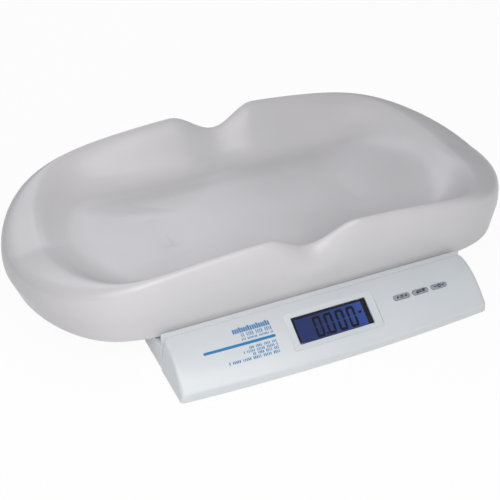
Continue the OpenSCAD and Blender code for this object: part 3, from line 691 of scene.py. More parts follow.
@dataclass
class CradleTray:
    """The moulded cradle: a shell lofted through level rings, with posts and ribs under its floor."""

    length: float = 546.0
    width: float = 266.5
    middle_y: float = 33.5
    rim_height: float = 112.0
    front_rim_height: float = 107.5
    end_height: float = 73.5
    floor_height: float = 54.0
    skirt_height: float = 34.0
    wall: float = 3.0
    notch_depth: float = 21.0
    notch_half: float = 57.0
    side_bow: float = 3.2
    end_length: float = 143.5
    end_width: float = 150.0
    corner_sharpness: float = 10.0
    rim_fullness: float = 1.5
    front_fullness: float = 1.15
    flat_half: float = 110.0
    end_climb: float = 19.0
    climb_run: float = 155.0
    climb_power: float = 1.3
    crowding: float = math.radians(20.0)
    around: int = 320
    steps: int = 10
    post_pitch_x: float = 240.0
    post_pitch_y: float = 124.0
    post_low: float = 41.3
    post_diameter: float = 22.0
    rib: float = 2.2
    rib_depth: float = 5.0
    rooted: float = 1.5

    def top_levels(self) -> list[tuple[float, ...]]:
        """Level rings from the middle of the floor over the rim and down the skirt.

        Returns:
            For each level the inset at the sides, the inset at the ends, 1 if it rises from the trough and 0
            if it rises from the skirt's lower edge, the share of the way to the crest, the share of the dip,
            the push inwards at the dip and the drop.
        """
        return [
            (110, 165, 1, 0, 0, 0, 0), (80, 100, 1, 0, 0, 0, 0), (52, 75, 1, 0.03, 0.02, 0, 0),
            (35, 58, 1, 0.30, 0.30, 0, 0), (18, 43, 1, 0.82, 0.82, 3, 0), (8, 31, 0, 1, 1, 5, 0),
            (2, 5.5, 0, 0.85, 1, 2, 0), (0, 0, 0, 0.50, 0.35, 0, 0), (0.3, 3.4, 0, 0.22, 0.10, 0, 0),
            (0.5, 6.6, 0, 0, 0, 0, 0)]

    def under_levels(self) -> list[tuple[float, ...]]:
        """Level rings up the skirt's inside, under the rim and back to the middle, as in top_levels."""
        wall = self.wall
        return [
            (0.5 + wall, 6.6 + wall, 0, 0, 0, 0, 0), (wall, wall + 1, 0, 0.50, 0.35, 0.3, 0),
            (2 + wall, 6 + wall, 0, 0.85, 1.19, 0.64, 0.8 * wall), (8.6, 33, 0, 1, 1.11, 3.85, 1.21 * wall),
            (16.8, 45, 1, 0.82, 0.62, -0.37, 1.3 * wall), (33.3, 59, 1, 0.30, 0.27, 0, 1.65 * wall),
            (53, 75, 1, 0.03, 0.02, 0, 1.1 * wall), (80, 100, 1, 0, 0, 0, wall), (110, 165, 1, 0, 0, 0, wall)]

    def crest(self, turn: np.ndarray) -> np.ndarray:
        """Height of the rim all round, lower at the front than at the back and lowest at the ends."""
        front = np.sin(turn) < 0
        top = np.where(front, self.front_rim_height, self.rim_height)
        fullness = np.where(front, self.front_fullness, self.rim_fullness)
        return self.end_height + (top - self.end_height) * np.abs(np.sin(turn)) ** fullness

    def trough(self, x: np.ndarray) -> np.ndarray:
        """Height of the floor, which climbs towards the ends."""
        past = np.maximum(np.abs(x) - self.flat_half, 0) / self.climb_run
        return self.floor_height + self.end_climb * past ** self.climb_power

    def ring(self, level: Sequence[float]) -> np.ndarray:
        """Points of one level ring, anticlockwise from +X."""
        in_side, in_end, from_trough, rise, dip_share, push, drop = level
        turn = np.arange(self.around) * 2 * math.pi / self.around
        turn = turn + self.crowding * np.sin(2 * turn) / 2
        power = self.corner_sharpness
        reach_y = ((self.width / 2) ** -power - self.end_width ** -power) ** (-1 / power) - in_side
        end_x = self.length / 2 - in_end
        x, full_x = end_x * np.cos(turn), self.length / 2 * np.cos(turn)
        reach = self.end_length - in_end
        share = np.maximum(np.abs(x) - (end_x - reach), 0) / reach
        side = reach_y - self.side_bow * (x / end_x) ** 2
        end = (self.end_width - in_side) * np.sqrt(np.maximum(1 - share ** 2, 1e-8))
        half = (side ** -power + end ** -power) ** (-1 / power)
        wave = (1 + np.cos(math.pi * full_x / self.notch_half)) / 2
        dip = np.where(np.abs(full_x) < self.notch_half, wave, 0)
        y = np.sign(np.round(np.sin(turn), 6)) * (half - push * dip)
        base = self.trough(x) if from_trough else np.full_like(x, self.skirt_height)
        z = base + rise * (self.crest(turn) - base) - dip_share * self.notch_depth * dip - drop
        return np.stack([x, self.middle_y + y, z], 1)

    def shell_points(self) -> np.ndarray:
        """Rings from the floor's middle over the rim, down the skirt and back under the floor."""
        rings = []
        for levels in (self.top_levels(), self.under_levels()):
            knots = [self.ring(level) for level in levels]
            last = len(knots) - 1
            for k in range(last):
                p, q, r, s = (knots[min(max(i, 0), last)] for i in (k - 1, k, k + 1, k + 2))
                for step in range(self.steps):
                    u = step / self.steps
                    rings.append(0.5 * (2 * q + (r - p) * u + (2 * p - 5 * q + 4 * r - s) * u ** 2
                                        + (3 * q - 3 * r + s - p) * u ** 3))
            rings.append(knots[last])
        return np.array(rings)

    def shell(self) -> Object:
        """The moulded shell as one closed mesh."""
        rings = self.shell_points()
        made = mesh_object("tray_shell", rings.reshape(-1, 3), ring_faces(len(rings), self.around))
        return smooth(outwards(made), 50)

    def underside(self) -> Object:
        """The four posts and the ribs that join them, under the floor."""
        made = RepeatTree("posts_and_ribs", [
            "Pitch X", "Pitch Y", "Post Height", "Post Radius", "Rib", "Rib Depth"])
        given = made.given
        corners = made.node("GeometryNodeMeshGrid", {"Size X": given["Pitch X"], "Size Y": given["Pitch Y"],
                                                     "Vertices X": 2, "Vertices Y": 2})
        down = made.vector(0.0, 0.0, made.maths("MULTIPLY", given["Post Height"], -0.5))
        post = made.node("GeometryNodeMeshCylinder", {"Vertices": 48, "Radius": given["Post Radius"],
                                                      "Depth": given["Post Height"]})
        hung = made.node("GeometryNodeTransform", {0: post[0], "Translation": down})
        posts = made.node("GeometryNodeInstanceOnPoints", {"Points": corners[0], "Instance": hung[0]})
        rib_drop = made.maths("MULTIPLY", given["Rib Depth"], -0.5)
        runs = []
        for count, start, offset, size in (
                (2, (0.0, made.maths("MULTIPLY", given["Pitch Y"], -0.5)), (0.0, given["Pitch Y"]),
                 (given["Pitch X"], given["Rib"])),
                (3, (made.maths("MULTIPLY", given["Pitch X"], -0.5), 0.0),
                 (made.maths("MULTIPLY", given["Pitch X"], 0.5), 0.0), (given["Rib"], given["Pitch Y"]))):
            line = made.node("GeometryNodeMeshLine", {
                "Count": count, "Start Location": made.vector(*start, rib_drop),
                "Offset": made.vector(*offset)})
            bar = made.node("GeometryNodeMeshCube", {"Size": made.vector(*size, given["Rib Depth"])})
            runs.append(made.node("GeometryNodeInstanceOnPoints", {"Points": line[0], "Instance": bar[0]})[0])
        made.close(made.join(posts[0], *runs))
        top = self.floor_height - self.wall + self.rooted
        piece = made.run("tray_posts_and_ribs", TRAY_ABS, Pitch_X=self.post_pitch_x * MM,
                         Pitch_Y=self.post_pitch_y * MM, Post_Height=(top - self.post_low) * MM,
                         Post_Radius=self.post_diameter / 2 * MM, Rib=self.rib * MM,
                         Rib_Depth=(self.rib_depth + self.rooted) * MM)
        return placed(smooth(piece), Matrix.Translation((0, self.middle_y, top)))

    def build(self) -> None:
        """Builds and dresses the tray."""
        dress(self.shell(), "tray", TRAY_ABS.material(), ["tray"])
        dress(self.underside(), "tray")


# ---------- the console ----------

@dataclass
class Console:
    """The sloping cover with its display, keys and printed marks.

    A distance s runs forward from the ridge's back face. The heights of faces are measured square to the
    display's plane, which on_panel() places. In that plane the lit field runs from blue_left to blue_right
    and from blue_low to blue_high, and a black border printed on the glass fills the rest of the opening.
    Along the top the black border is drawn wider than the print is, as painted shade for the opening's top
    wall, which lies in shadow.
    """

    length: float = 334.0
    depth: float = 58.0
    front_bow: float = 6.5
    ridge_y: float = -102.25
    ridge_height: float = 41.5
    lip_height: float = 15.0
    groove: float = 7.5
    seam: float = 0.2
    side_draft: float = 0.08
    low: float = 3.0
    wall: float = 2.5
    curve: float = 2.1
    nose_radius: float = 4.4
    nose_run: float = 1.0
    taper_low: float = 20.0
    end_taper: float = 0.25
    bevel_side: float = 8.0
    bevel_depth: float = 9.0
    bevel_inset: float = 1.5
    end_radius: float = 4.0
    end_inset: float = 3.0
    end_roundness: float = 1.6
    column_inset: float = 13.0
    column_s: float = 40.0
    column_diameter: float = 8.0
    column_span: tuple[float, float] = (7.2, 25.0)
    display_s: float = 37.6
    display_z: float = 31.0
    tilt: float = math.radians(32.0)
    frame_width: float = 96.0
    frame_height: float = 38.0
    frame_radius: float = 2.0
    groove_width: float = 0.7
    groove_depth: float = 0.4
    window_width: float = 81.3
    window_height: float = 27.8
    window_radius: float = 0.9
    window_ease: float = 0.45
    seat_margin: float = 3.5
    sheet_margin: float = 2.5
    sheet_thickness: float = 1.2
    lip: float = 2.5
    key_x: tuple[float, ...] = (77.3, 98.8, 120.3)
    key_up: float = 3.0
    key_length: float = 18.0
    key_width: float = 5.0
    key_face: float = 1.55
    key_play: float = 0.3
    flange_margin: float = 1.3
    peg_diameter: float = 4.6
    glass_face: float = -4.2
    print_lift: float = 0.05
    board_face: float = -10.9
    pillar_diameter: float = 6.0
    pillars: tuple[tuple[float, float], ...] = ((-51.5, -12.0), (-51.5, 12.0), (134.5, -9.0), (134.5, 9.0))
    border_half: tuple[float, float] = (41.3, 14.9)
    blue_left: float = -37.0
    blue_right: float = 36.0
    blue_low: float = -14.5
    # Set low, so that the black border along the top also paints the shade of the opening's top wall.
    blue_high: float = 12.0

    @property
    def panel_end(self) -> float:
        """Distance forward at which the panel has come down to the lip's height."""
        return self.depth - 3

    def panel_z(self, s: Any) -> Any:
        """Height of the panel at a distance forward of the ridge's back face."""
        share = np.maximum(s - self.groove, 0) / (self.panel_end - self.groove)
        return self.lip_height + (self.ridge_height - self.lip_height) * (1 - share ** self.curve)

    def panel_slope(self, s: Any) -> Any:
        """Fall of the panel for each millimetre forward."""
        run = self.panel_end - self.groove
        share = np.maximum(s - self.groove, 0) / run
        return (self.ridge_height - self.lip_height) * self.curve * share ** (self.curve - 1) / run

    def on_panel(self) -> Matrix:
        """Place of the display's plane: x along, y up the slope, z outwards."""
        middle = Matrix.Translation((0, self.ridge_y - self.display_s, self.display_z))
        return middle @ Matrix.Rotation(self.tilt, 4, "X")

    def surface_point(self, x: float, s: float, lift: float) -> tuple[float, float, float]:
        """A point on the panel.

        Args:
            x: Distance along the console from its middle.
            s: Distance forward of the ridge's back face.
            lift: Height above the panel, along its normal.

        Returns:
            The point in the part's frame.
        """
        share = 2 * x / self.length
        z, fall = float(self.panel_z(s)), float(self.panel_slope(s))
        bow = self.front_bow * (s - self.groove) / (self.depth - self.groove) * (1 - share ** 2)
        size = math.hypot(1, fall)
        return (x - share * self.side_draft * z, self.ridge_y - s - bow - lift * fall / size, z + lift / size)

    def section(self, drop: float, low: float, panel_steps: int, nose_steps: int, eased: float) -> np.ndarray:
        """Section of the cover as rows of distance forward and height.

        Args:
            drop: Distance inwards from the outer face.
            low: Height of the lower edge.
            panel_steps: Steps over the panel.
            nose_steps: Steps round the nose.
            eased: Size of the small chamfer at the seam with the ridge.

        Returns:
            Rows from the back of the foot, up over the panel and down the front.
        """
        back = self.groove + self.seam
        stop = self.depth - self.nose_run
        spread = np.linspace(0, 1, panel_steps + 1)
        s = back + eased + (stop - back - eased) * spread
        angle = np.arctan(self.panel_slope(s))
        panel_s = np.maximum(s - drop * np.sin(angle), back)
        panel = np.stack([panel_s, self.panel_z(s) - drop * np.cos(angle)], 1)
        nose = math.pi / 2 - angle[-1]
        middle_z = float(self.panel_z(stop)) - self.nose_radius * math.sin(nose)
        turn = nose * (1 - np.linspace(0, 1, nose_steps + 1)[1:])
        reach = self.nose_radius - drop
        middle_s = self.depth - self.nose_radius
        arc = np.stack([middle_s + reach * np.cos(turn), middle_z + reach * np.sin(turn)], 1)
        first = [(back, low), (back, self.taper_low)] + ([(back, panel[0, 1] - eased)] if eased else [])
        return np.vstack([first, panel, arc, [(self.depth - drop, low)]])

    def ring(self, share: float, inset: float, section: np.ndarray, taper: float = 0.0) -> np.ndarray:
        """One section of the cover, placed along X at a share of the half length.

        Args:
            share: Share of the half length, from -1 to 1.
            inset: Distance inwards from the end.
            section: Rows of distance forward and height.
            taper: How far the ends lean in for each millimetre above taper_low.

        Returns:
            Points in the part's frame.
        """
        s, z = section[:, 0], section[:, 1]
        leaning = taper * np.maximum(z - self.taper_low, 0)
        x = share * (self.length / 2 - inset - self.side_draft * z - leaning)
        bow = self.front_bow * (s - self.groove) / (self.depth - self.groove) * (1 - share ** 2)
        return np.stack([x, self.ridge_y - s - bow, z], 1)

    def stations(self) -> list[tuple[float, float]]:
        """Shares of the half length and insets, from one rounded end to the other."""
        half = self.length / 2
        turns = np.linspace(0, 1, 9) ** self.end_roundness
        end = [(1 - self.end_radius * t / half, self.end_inset * (1 - math.sqrt(1 - (1 - t) ** 2)))
               for t in turns]
        middle = np.linspace(end[-1][0], -end[-1][0], 49)[1:-1]
        return end + [(float(q), 0.0) for q in middle] + [(-q, inset) for q, inset in reversed(end)]

    def prism(self, name: str, outline: Outline, size: tuple[float, float], at: tuple[float, float],
              levels: Sequence[tuple[float, float]]) -> Object:
        """A tool that stands square to the display's plane.

        Args:
            name: Name of the object.
            outline: Function of a length and a width that returns an outline.
            size: Length and width.
            at: Place of its middle in the plane.
            levels: Heights from the plane, each with the growth of the outline there.

        Returns:
            The closed object.
        """
        rings = [(outline(size[0] + 2 * grow, size[1] + 2 * grow) + np.array(at), z) for z, grow in levels]
        return placed(loft(name, rings), self.on_panel())

    def rounded_prism(self, name: str, radius: float, size: tuple[float, float],
                      levels: Sequence[tuple[float, float]]) -> Object:
        """A prism about the display's middle, with round corners."""
        return self.prism(name, partial(rounded_rectangle, radius=radius), size, (0, 0), levels)

    @property
    def frame_size(self) -> tuple[float, float]:
        """Width and height of the frame round the display."""
        return (self.frame_width, self.frame_height)

    def window_size(self, margin: float = 0.0) -> tuple[float, float]:
        """Width and height of the opening with a margin on every side."""
        return (self.window_width + 2 * margin, self.window_height + 2 * margin)

    def moulding(self) -> Object:
        """The cover's outer form."""
        rings = [self.ring(q, 0, self.section(inset, self.low, 44, 8, 0.4)) for q, inset in self.stations()]
        return mesh_object("console_moulding", np.vstack(rings), ring_faces(len(rings), len(rings[0])))

    def hollow(self) -> Object:
        """The cover's inside, which runs out through its open back and under side."""
        rings = [self.ring(q, self.wall, self.section(self.wall, self.low - 1, 24, 5, 0.0), self.end_taper)
                 for q in np.linspace(1, -1, 13)]
        for ring in rings:
            ring[ring[:, 1] > self.ridge_y - self.groove - 0.5, 1] += 4
        return mesh_object("hollow", np.vstack(rings), ring_faces(len(rings), len(rings[0])))

    def additions(self) -> list[Object]:
        """The frame's plate, the board's pillars and the screw columns, which are added to the cover."""
        plate = self.rounded_prism("plate", self.frame_radius, self.frame_size, [(-self.lip, 0), (0, 0)])
        size = (self.pillar_diameter, self.pillar_diameter)
        pillars = [self.prism("pillar", obround, size, place, [(self.board_face, 0), (-0.3, 0)])
                   for place in self.pillars]
        column = obround(self.column_diameter, self.column_diameter)
        column_x = self.length / 2 - self.column_inset
        columns = [placed(loft("column", [(column, z) for z in self.column_span]),
                          Matrix.Translation((side * column_x, self.ridge_y - self.column_s, 0)))
                   for side in (-1, 1)]
        return [plate] + pillars + columns

    def openings(self) -> list[Object]:
        """The recess, the opening with its seat, the groove, the key slots and the cut corners."""
        tools = [
            self.rounded_prism("recess", self.frame_radius, self.frame_size, [(0, 0), (6, 0.8)]),
            self.rounded_prism("window", self.window_radius, self.window_size(), [
                (-8, 0), (-0.5, 0), (0, self.window_ease), (1, self.window_ease)]),
            self.rounded_prism("seat", 1.0, self.window_size(self.seat_margin), [(-7, 0), (-self.lip, 0)]),
            self.frame_groove()]
        slot = (self.key_length + 2 * self.key_play, self.key_width + 2 * self.key_play)
        tools += [self.prism("slot", obround, slot, (x, self.key_up), [
            (-5, 0), (self.key_face - 0.5, 0), (self.key_face + 0.1, 0.35), (7, 0.35)]) for x in self.key_x]
        size = (self.bevel_side, self.bevel_side, 2 * self.bevel_depth)
        corner_x = self.length / 2 - self.bevel_inset
        for side in (-1, 1):
            corner = (side * corner_x, self.ridge_y - self.groove, self.ridge_height)
            place = Matrix.Translation(corner) @ Matrix.Rotation(math.pi / 4, 4, "Z")
            tools.append(placed(block("bevel", size), place))
        return tools

    def frame_groove(self) -> Object:
        """A tool for the fine groove that sets the display's frame off from the panel."""
        outer, core = [self.rounded_prism(name, self.frame_radius + grow, self.frame_size,
                                          [(low, grow), (6 - low / 10, grow)])
                       for name, grow, low in (("groove", self.groove_width, -self.groove_depth),
                                               ("core", 0, -3.0))]
        return cut(outwards(outer), [outwards(core)])

    def cover(self) -> Object:
        """The moulded cover, with the display's frame, the window and the key slots cut into it."""
        made = cut(outwards(self.moulding()), [outwards(self.hollow())])
        cut(made, [outwards(tool) for tool in self.additions()], "UNION")
        cut(made, [outwards(tool) for tool in self.openings()])
        return smooth(outwards(made), 28)

    def window(self) -> Object:
        """The clear window, with its edges eased."""
        top = -self.lip
        low = top - self.sheet_thickness
        sheet = self.rounded_prism("clear_window", 1.0, self.window_size(self.sheet_margin), [
            (low, -0.2), (low + 0.15, 0), (top - 0.15, 0), (top, -0.2)])
        return smooth(outwards(sheet))

    def on_glass(self, made: Object, lift: float) -> Object:
        """Lays flat work, drawn in the display's plane, on the display's glass."""
        return placed(made, self.on_panel() @ Matrix.Translation((0, 0, self.glass_face + lift)))

    def mask(self) -> Object:
        """The black border printed round the display's lit field. Along its top it is wider, as painted shade
        for the opening's shaded top wall.
        """
        half_x, half_y = self.border_half
        outer = [(-half_x, -half_y), (half_x, -half_y), (half_x, half_y), (-half_x, half_y)]
        inner = [(self.blue_left, self.blue_low), (self.blue_right, self.blue_low),
                 (self.blue_right, self.blue_high), (self.blue_left, self.blue_high)]
        made = mesh_object("display_mask", [(x, y, 0) for x, y in outer + inner],
                           [[k, (k + 1) % 4, 4 + (k + 1) % 4, 4 + k] for k in range(4)])
        return self.on_glass(made, self.print_lift)

    def figures(self) -> Object:
        """The switched segments of the display: four noughts, a point and a small unit bar."""
        made = figure_tree().run(
            "display_figures", CRYSTAL, Digits=4, Pitch=12.3 * MM, Figure_Width=6.4 * MM,
            Figure_Height=18.9 * MM, Stroke=2.6 * MM, Gap=0.5 * MM, Slant=0.02)
        made.data.transform(Matrix.Translation((-14.7 * MM, -0.7 * MM, 0)))
        parts = [made]
        for name, at, size, radius in (("point", (-8.4, -9.7), (2.4, 2.4), 0.6),
                                       ("unit", (31.6, 1.8), (3.6, 2.3), 0.4)):
            outline = rounded_rectangle(*size, radius) + np.array(at)
            parts.append(mesh_object(name, [(x, y, 0) for x, y in outline], [list(range(len(outline)))]))
        return self.on_glass(join("display_figures", parts), self.print_lift + 0.01)

    def key(self, name: str, x: float) -> Object:
        """One key: an oblong cap with a softly crowned top, its flange and the peg that meets the plunger."""
        face, at, margin = self.key_face, (x, self.key_up), 2 * self.flange_margin
        cap = self.prism(name, obround, (self.key_length, self.key_width), at, [
            (-1.7, 0), (face + 0.25, 0), (face + 0.5, -0.12), (face + 0.68, -0.4), (face + 0.78, -0.9)])
        flange = self.prism("flange", obround, (self.key_length + margin, self.key_width + margin), at, [
            (-2.9, -0.2), (-2.7, 0), (-1.75, 0), (-1.69, -0.1)])
        peg = self.prism("peg", obround, (self.peg_diameter, self.peg_diameter), at, [
            (-6, -0.15), (-5.85, 0), (-2.8, 0)])
        return smooth(cut(outwards(cap), [outwards(flange), outwards(peg)], "UNION"), 40)

    def on_surface(self, made: Object, lift: float = 0.05) -> Object:
        """Lays a flat print, drawn as x along and y back towards the ridge from the seam, on the panel."""
        for vertex in made.data.vertices:
            x, back, _ = (c / MM for c in vertex.co)
            vertex.co = Vector(self.surface_point(x, -back, lift)) * MM
        return made


class KeySign(Enum):
    """Generic sign on each key."""

    TO_ZERO = "tare"
    EXCHANGE = "unit"
    STANDBY = "power"


@dataclass(frozen=True)
class PrintRow:
    """A row of small printed bars: where its foot line lies, where it starts, and what its bars are like."""

    forward: float
    left: float
    pitch: float
    bar_width: float
    bar_height: float
    tall_every: int = 99
    tall_scale: float = 1.0
    gap_every: int = 99
    seed: int = 0
    unevenness: float = 0.35


@dataclass
class ConsoleDress:
    """Builds the console's pieces and puts their finishes on."""

    console: Console
    print_right: float = -63.5
    bar_s: float = 34.3
    bar_half: float = 1.1
    bar_span: tuple[float, float] = (-136.1, -63.9)
    rows: tuple[PrintRow, ...] = (
        PrintRow(24.4, -105.5, 2.3, 1.7, 4.4, tall_every=4, tall_scale=1.25, unevenness=0.0),
        PrintRow(28.8, -97.0, 1.9, 1.05, 3.5, gap_every=5, seed=3),
        PrintRow(31.6, -96.6, 1.5, 1.0, 1.7, gap_every=8, seed=5),
        PrintRow(39.2, -93.3, 1.7, 1.1, 1.9, gap_every=5, seed=7),
        PrintRow(41.7, -99.2, 1.7, 1.1, 1.9, gap_every=6, seed=11),
        PrintRow(44.1, -92.3, 1.7, 1.1, 1.9, gap_every=5, seed=13),
        PrintRow(46.7, -116.8, 1.75, 1.15, 1.9, gap_every=6, seed=17))

    def sign(self, kind: KeySign) -> list[np.ndarray]:
        """Outlines of a key's sign, about its middle, x along and y up the slope."""
        if kind is KeySign.TO_ZERO:
            ring = self.band(0.75, 1.6, 0, 360)
            return [ring, self.arrow(-4.1, 1), self.arrow(4.1, -1)]
        if kind is KeySign.EXCHANGE:
            bar = rounded_rectangle(8.0, 0.8, 0.2, 2)
            return [bar + (-0.9, 0.75), bar + (0.9, -0.75),
                    self.arrow(4.4, 1, 0.9), self.arrow(-4.4, -1, -0.9)]
        side = rounded_rectangle(3.2, 0.9, 0.3, 2)
        return [self.band(1.0, 1.85, 130, 410), rounded_rectangle(0.8, 1.7, 0.2, 2) + (0, 1.1),
                side + (-4.4, 0), side + (4.4, 0)]

    @staticmethod
    def band(inner: float, outer: float, start: float, stop: float, steps: int = 28) -> np.ndarray:
        """Outline of a ring or of a part of one, between two angles in degrees."""
        turn = np.radians(np.linspace(start, stop, steps))
        rim = np.stack([np.cos(turn), np.sin(turn)], 1)
        return np.vstack([rim * outer, rim[::-1] * inner])

    @staticmethod
    def arrow(x: float, way: int, y: float = 0.0) -> np.ndarray:
        """Outline of a small arrow head that points along X."""
        return np.array([(x + way * 1.4, y), (x - way * 1.4, y + 1.3), (x - way * 1.4, y - 1.3)])

    def sign_object(self, kind: KeySign, x: float) -> Object:
        """The printed sign on top of a key. Bands have many points and become strips of quads."""
        points: list[tuple[float, float, float]] = []
        faces: list[list[int]] = []
        for outline in self.sign(kind):
            first = len(points)
            count = len(outline)
            points += [(px + x, py + self.console.key_up, self.console.key_face + 0.8)
                       for px, py in outline]
            if count > 40:
                half = count // 2
                faces += [[first + k, first + k + 1, first + count - 2 - k, first + count - 1 - k]
                          for k in range(half - 1)]
            else:
                faces.append([first + k for k in range(count)])
        return placed(mesh_object(f"key_sign_{kind.value}", points, faces), self.console.on_panel())

    def print_bar(self) -> Object:
        """The long printed bar with round ends."""
        half, left, right = self.bar_half, *self.bar_span
        steps = np.linspace(left, right, 30)
        near = [(x, -self.bar_s - half) for x in steps]
        far = [(x, -self.bar_s + half) for x in steps[::-1]]
        caps = [[(x + way * half * math.cos(t), -self.bar_s + way * half * math.sin(t))
                 for t in np.radians(np.linspace(-80, 80, 9))] for x, way in ((right, 1), (left, -1))]
        outline = near + caps[0] + far + caps[1]
        made = mesh_object("bar", [(x, y, 0) for x, y in outline], [list(range(len(outline)))])
        triangulate(made)
        return made

    def label(self) -> Object:
        """The printed block left of the display: thick and thin rows, and a bar with round ends."""
        tree = print_row_tree()
        parts = []
        for k, row in enumerate(self.rows):
            count = int((self.print_right - row.left) / row.pitch)
            made = tree.run(f"row_{k}", BLUE_INK, Count=count, Pitch=row.pitch * MM,
                            Bar_Width=row.bar_width * MM, Bar_Height=row.bar_height * MM,
                            Tall_Every=row.tall_every, Tall_Scale=row.tall_scale, Gap_Every=row.gap_every,
                            Unevenness=row.unevenness, Seed=row.seed)
            first = self.print_right - row.pitch * count + row.pitch / 2
            made.data.transform(Matrix.Translation((first * MM, -row.forward * MM, 0)))
            parts.append(made)
        return self.console.on_surface(join("console_print", parts + [self.print_bar()]))

    def build(self) -> None:
        """Builds and dresses the console."""
        console = self.console
        dress(console.cover(), "base", COVER_ABS.material(), ["console_cover"])
        dress(console.window(), "base", WINDOW.material(), ["display_window"])
        dress(console.mask(), "base", MASK_INK.material())
        dress(console.figures(), "base", CRYSTAL.material())
        for kind, x in zip(KeySign, console.key_x):
            name = kind.value
            cap = console.key(f"key_cap_{name}", x)
            dress(cap, f"key_{name}", KEY_ABS.material(), [f"button_{name}"])
            dress(self.sign_object(kind, x), f"key_{name}", DARK_INK.material())
        dress(self.label(), "base", BLUE_INK.material())


# ---------- the pieces that the frame already shapes ----------

@dataclass
class FramePieces:
    """CAD nodes that keep their shape. Those that show get eased edges, and the rest only a finish."""

    eased: tuple[tuple[str, float], ...] = (
        ("base_cover", 0.5), ("base_pan", 0.3), ("battery_door", 0.2), ("tray_carrier", 0.3),
        ("feet", 0.4), ("carrier_pads", 0.3), ("lcd_frame", 0.2))

    def finishes(self) -> dict[str, Finish]:
        """Finish of each slot of the record."""
        return {"tray_abs": TRAY_ABS, "cover_abs": COVER_ABS, "pan_abs": PAN_ABS, "window_pc": WINDOW,
                "lcd_glass": DISPLAY, "backlight": DIFFUSER, "frame_black": BLACK_ABS,
                "zebra_rubber": ELASTOMER, "button_grey": KEY_ABS, "board_green": LAMINATE,
                "connector_nylon": NYLON, "cell_aluminium": ALUMINIUM, "gauge_film": GAUGE_FILM,
                "plated_steel": ZINC_SHEET, "screw_steel": ZINC_SCREW, "contact_nickel": NICKEL,
                "pad_rubber": RUBBER, "cell_sleeve": SLEEVE, "lead_grey": LEAD_GREY, "lead_red": LEAD_RED}

    def slots(self) -> dict[str, str]:
        """Slot of each node, from the record."""
        return {row["node"]: row["material_slot"] for row in frame["record"]["subparts"]}

    def eased_copy(self, node: str, name: str, width: float) -> Object:
        """A copy of a node with its sharp edges eased.

        Args:
            node: CAD node.
            name: Name of the copy.
            width: Width of the eased edge.

        Returns:
            The copy, at the origin.
        """
        work = bmesh.new()
        work.from_mesh(frame["nodes"][node].data)
        bmesh.ops.remove_doubles(work, verts=work.verts, dist=2e-6)
        bmesh.ops.dissolve_limit(work, angle_limit=math.radians(0.5), verts=work.verts, edges=work.edges)
        mesh = bpy.data.meshes.new(name)
        work.to_mesh(mesh)
        work.free()
        made = link_mesh(name, mesh)
        bevel = made.modifiers.new("ease", "BEVEL")
        bevel.width = width * MM
        bevel.segments = 2
        bevel.limit_method = "ANGLE"
        bevel.angle_limit = math.radians(40)
        bevel.harden_normals = False
        return smooth(baked(made), 20)

    def build(self) -> None:
        """Dresses every node, and eases those that show."""
        finishes, slots = self.finishes(), self.slots()
        for node, piece in frame["nodes"].items():
            piece.data.materials.clear()
            piece.data.materials.append(finishes[slots[node]].material())
        for node, width in self.eased:
            body = "door" if node == "battery_door" else "base"
            made = self.eased_copy(node, f"{node}_eased", width)
            dress(made, body, finishes[slots[node]].material(), [node])


@dataclass
class HousingScrews:
    """Screws under the pan, with a cross recess each."""

    diameter: float = 6.0
    height: float = 1.1
    low: float = 4.5
    recess_width: float = 0.9
    recess_depth: float = 0.7
    shank_diameter: float = 2.5

    def build(self) -> None:
        """Sets a head on every screw that the frame holds."""
        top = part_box("housing_screws")[1].z / MM
        places = self.places()
        made = screw_tree().run(
            "housing_screw_set", ZINC_SCREW, source=places, Head_Diameter=self.diameter * MM,
            Head_Height=self.height * MM, Recess_Width=self.recess_width * MM,
            Recess_Depth=self.recess_depth * MM, Shank_Diameter=self.shank_diameter * MM,
            Shank_Length=(top - self.low - self.height) * MM)
        LOG.info("%d housing screws", len(places))
        dress(smooth(made), "base", None, ["housing_screws"])

    def places(self) -> list[tuple[float, float, float]]:
        """Middle of each head, read from the frame's separate screws."""
        work = bmesh.new()
        work.from_mesh(frame["nodes"]["housing_screws"].data)
        bmesh.ops.remove_doubles(work, verts=work.verts, dist=2e-6)
        left = set(work.verts)
        places = []
        while left:
            island, edge = set(), [left.pop()]
            while edge:
                vertex = edge.pop()
                island.add(vertex)
                for link in vertex.link_edges:
                    other = link.other_vert(vertex)
                    if other in left:
                        left.discard(other)
                        edge.append(other)
            box = np.array([v.co for v in island])
            middle = (box.min(0) + box.max(0)) / 2 / MM
            places.append((float(middle[0]), float(middle[1]), self.low + self.height / 2))
        work.free()
        return places


# ---------- the studio ----------

@dataclass(frozen=True)
class SoftBox:
    """A soft lamp that looks at the object's middle. Its place and size are in metres, its power in watts."""

    name: str
    at: tuple[float, float, float]
    size: tuple[float, float]
    power: float
    colour: str
    target: tuple[float, float, float] = (0.0, 0.0, 0.05)

    def build(self) -> None:
        """Hangs the lamp."""
        data = bpy.data.lights.new(self.name, "AREA")
        data.shape = "RECTANGLE"
        data.size, data.size_y = self.size
        data.energy = self.power
        data.color = srgb(self.colour)[:3]
        made = bpy.data.objects.new(self.name, data)
        bpy.context.scene.collection.objects.link(made)
        aim = Vector(self.target) - Vector(self.at)
        made.matrix_world = Matrix.Translation(self.at) @ aim.to_track_quat("-Z", "Y").to_matrix().to_4x4()


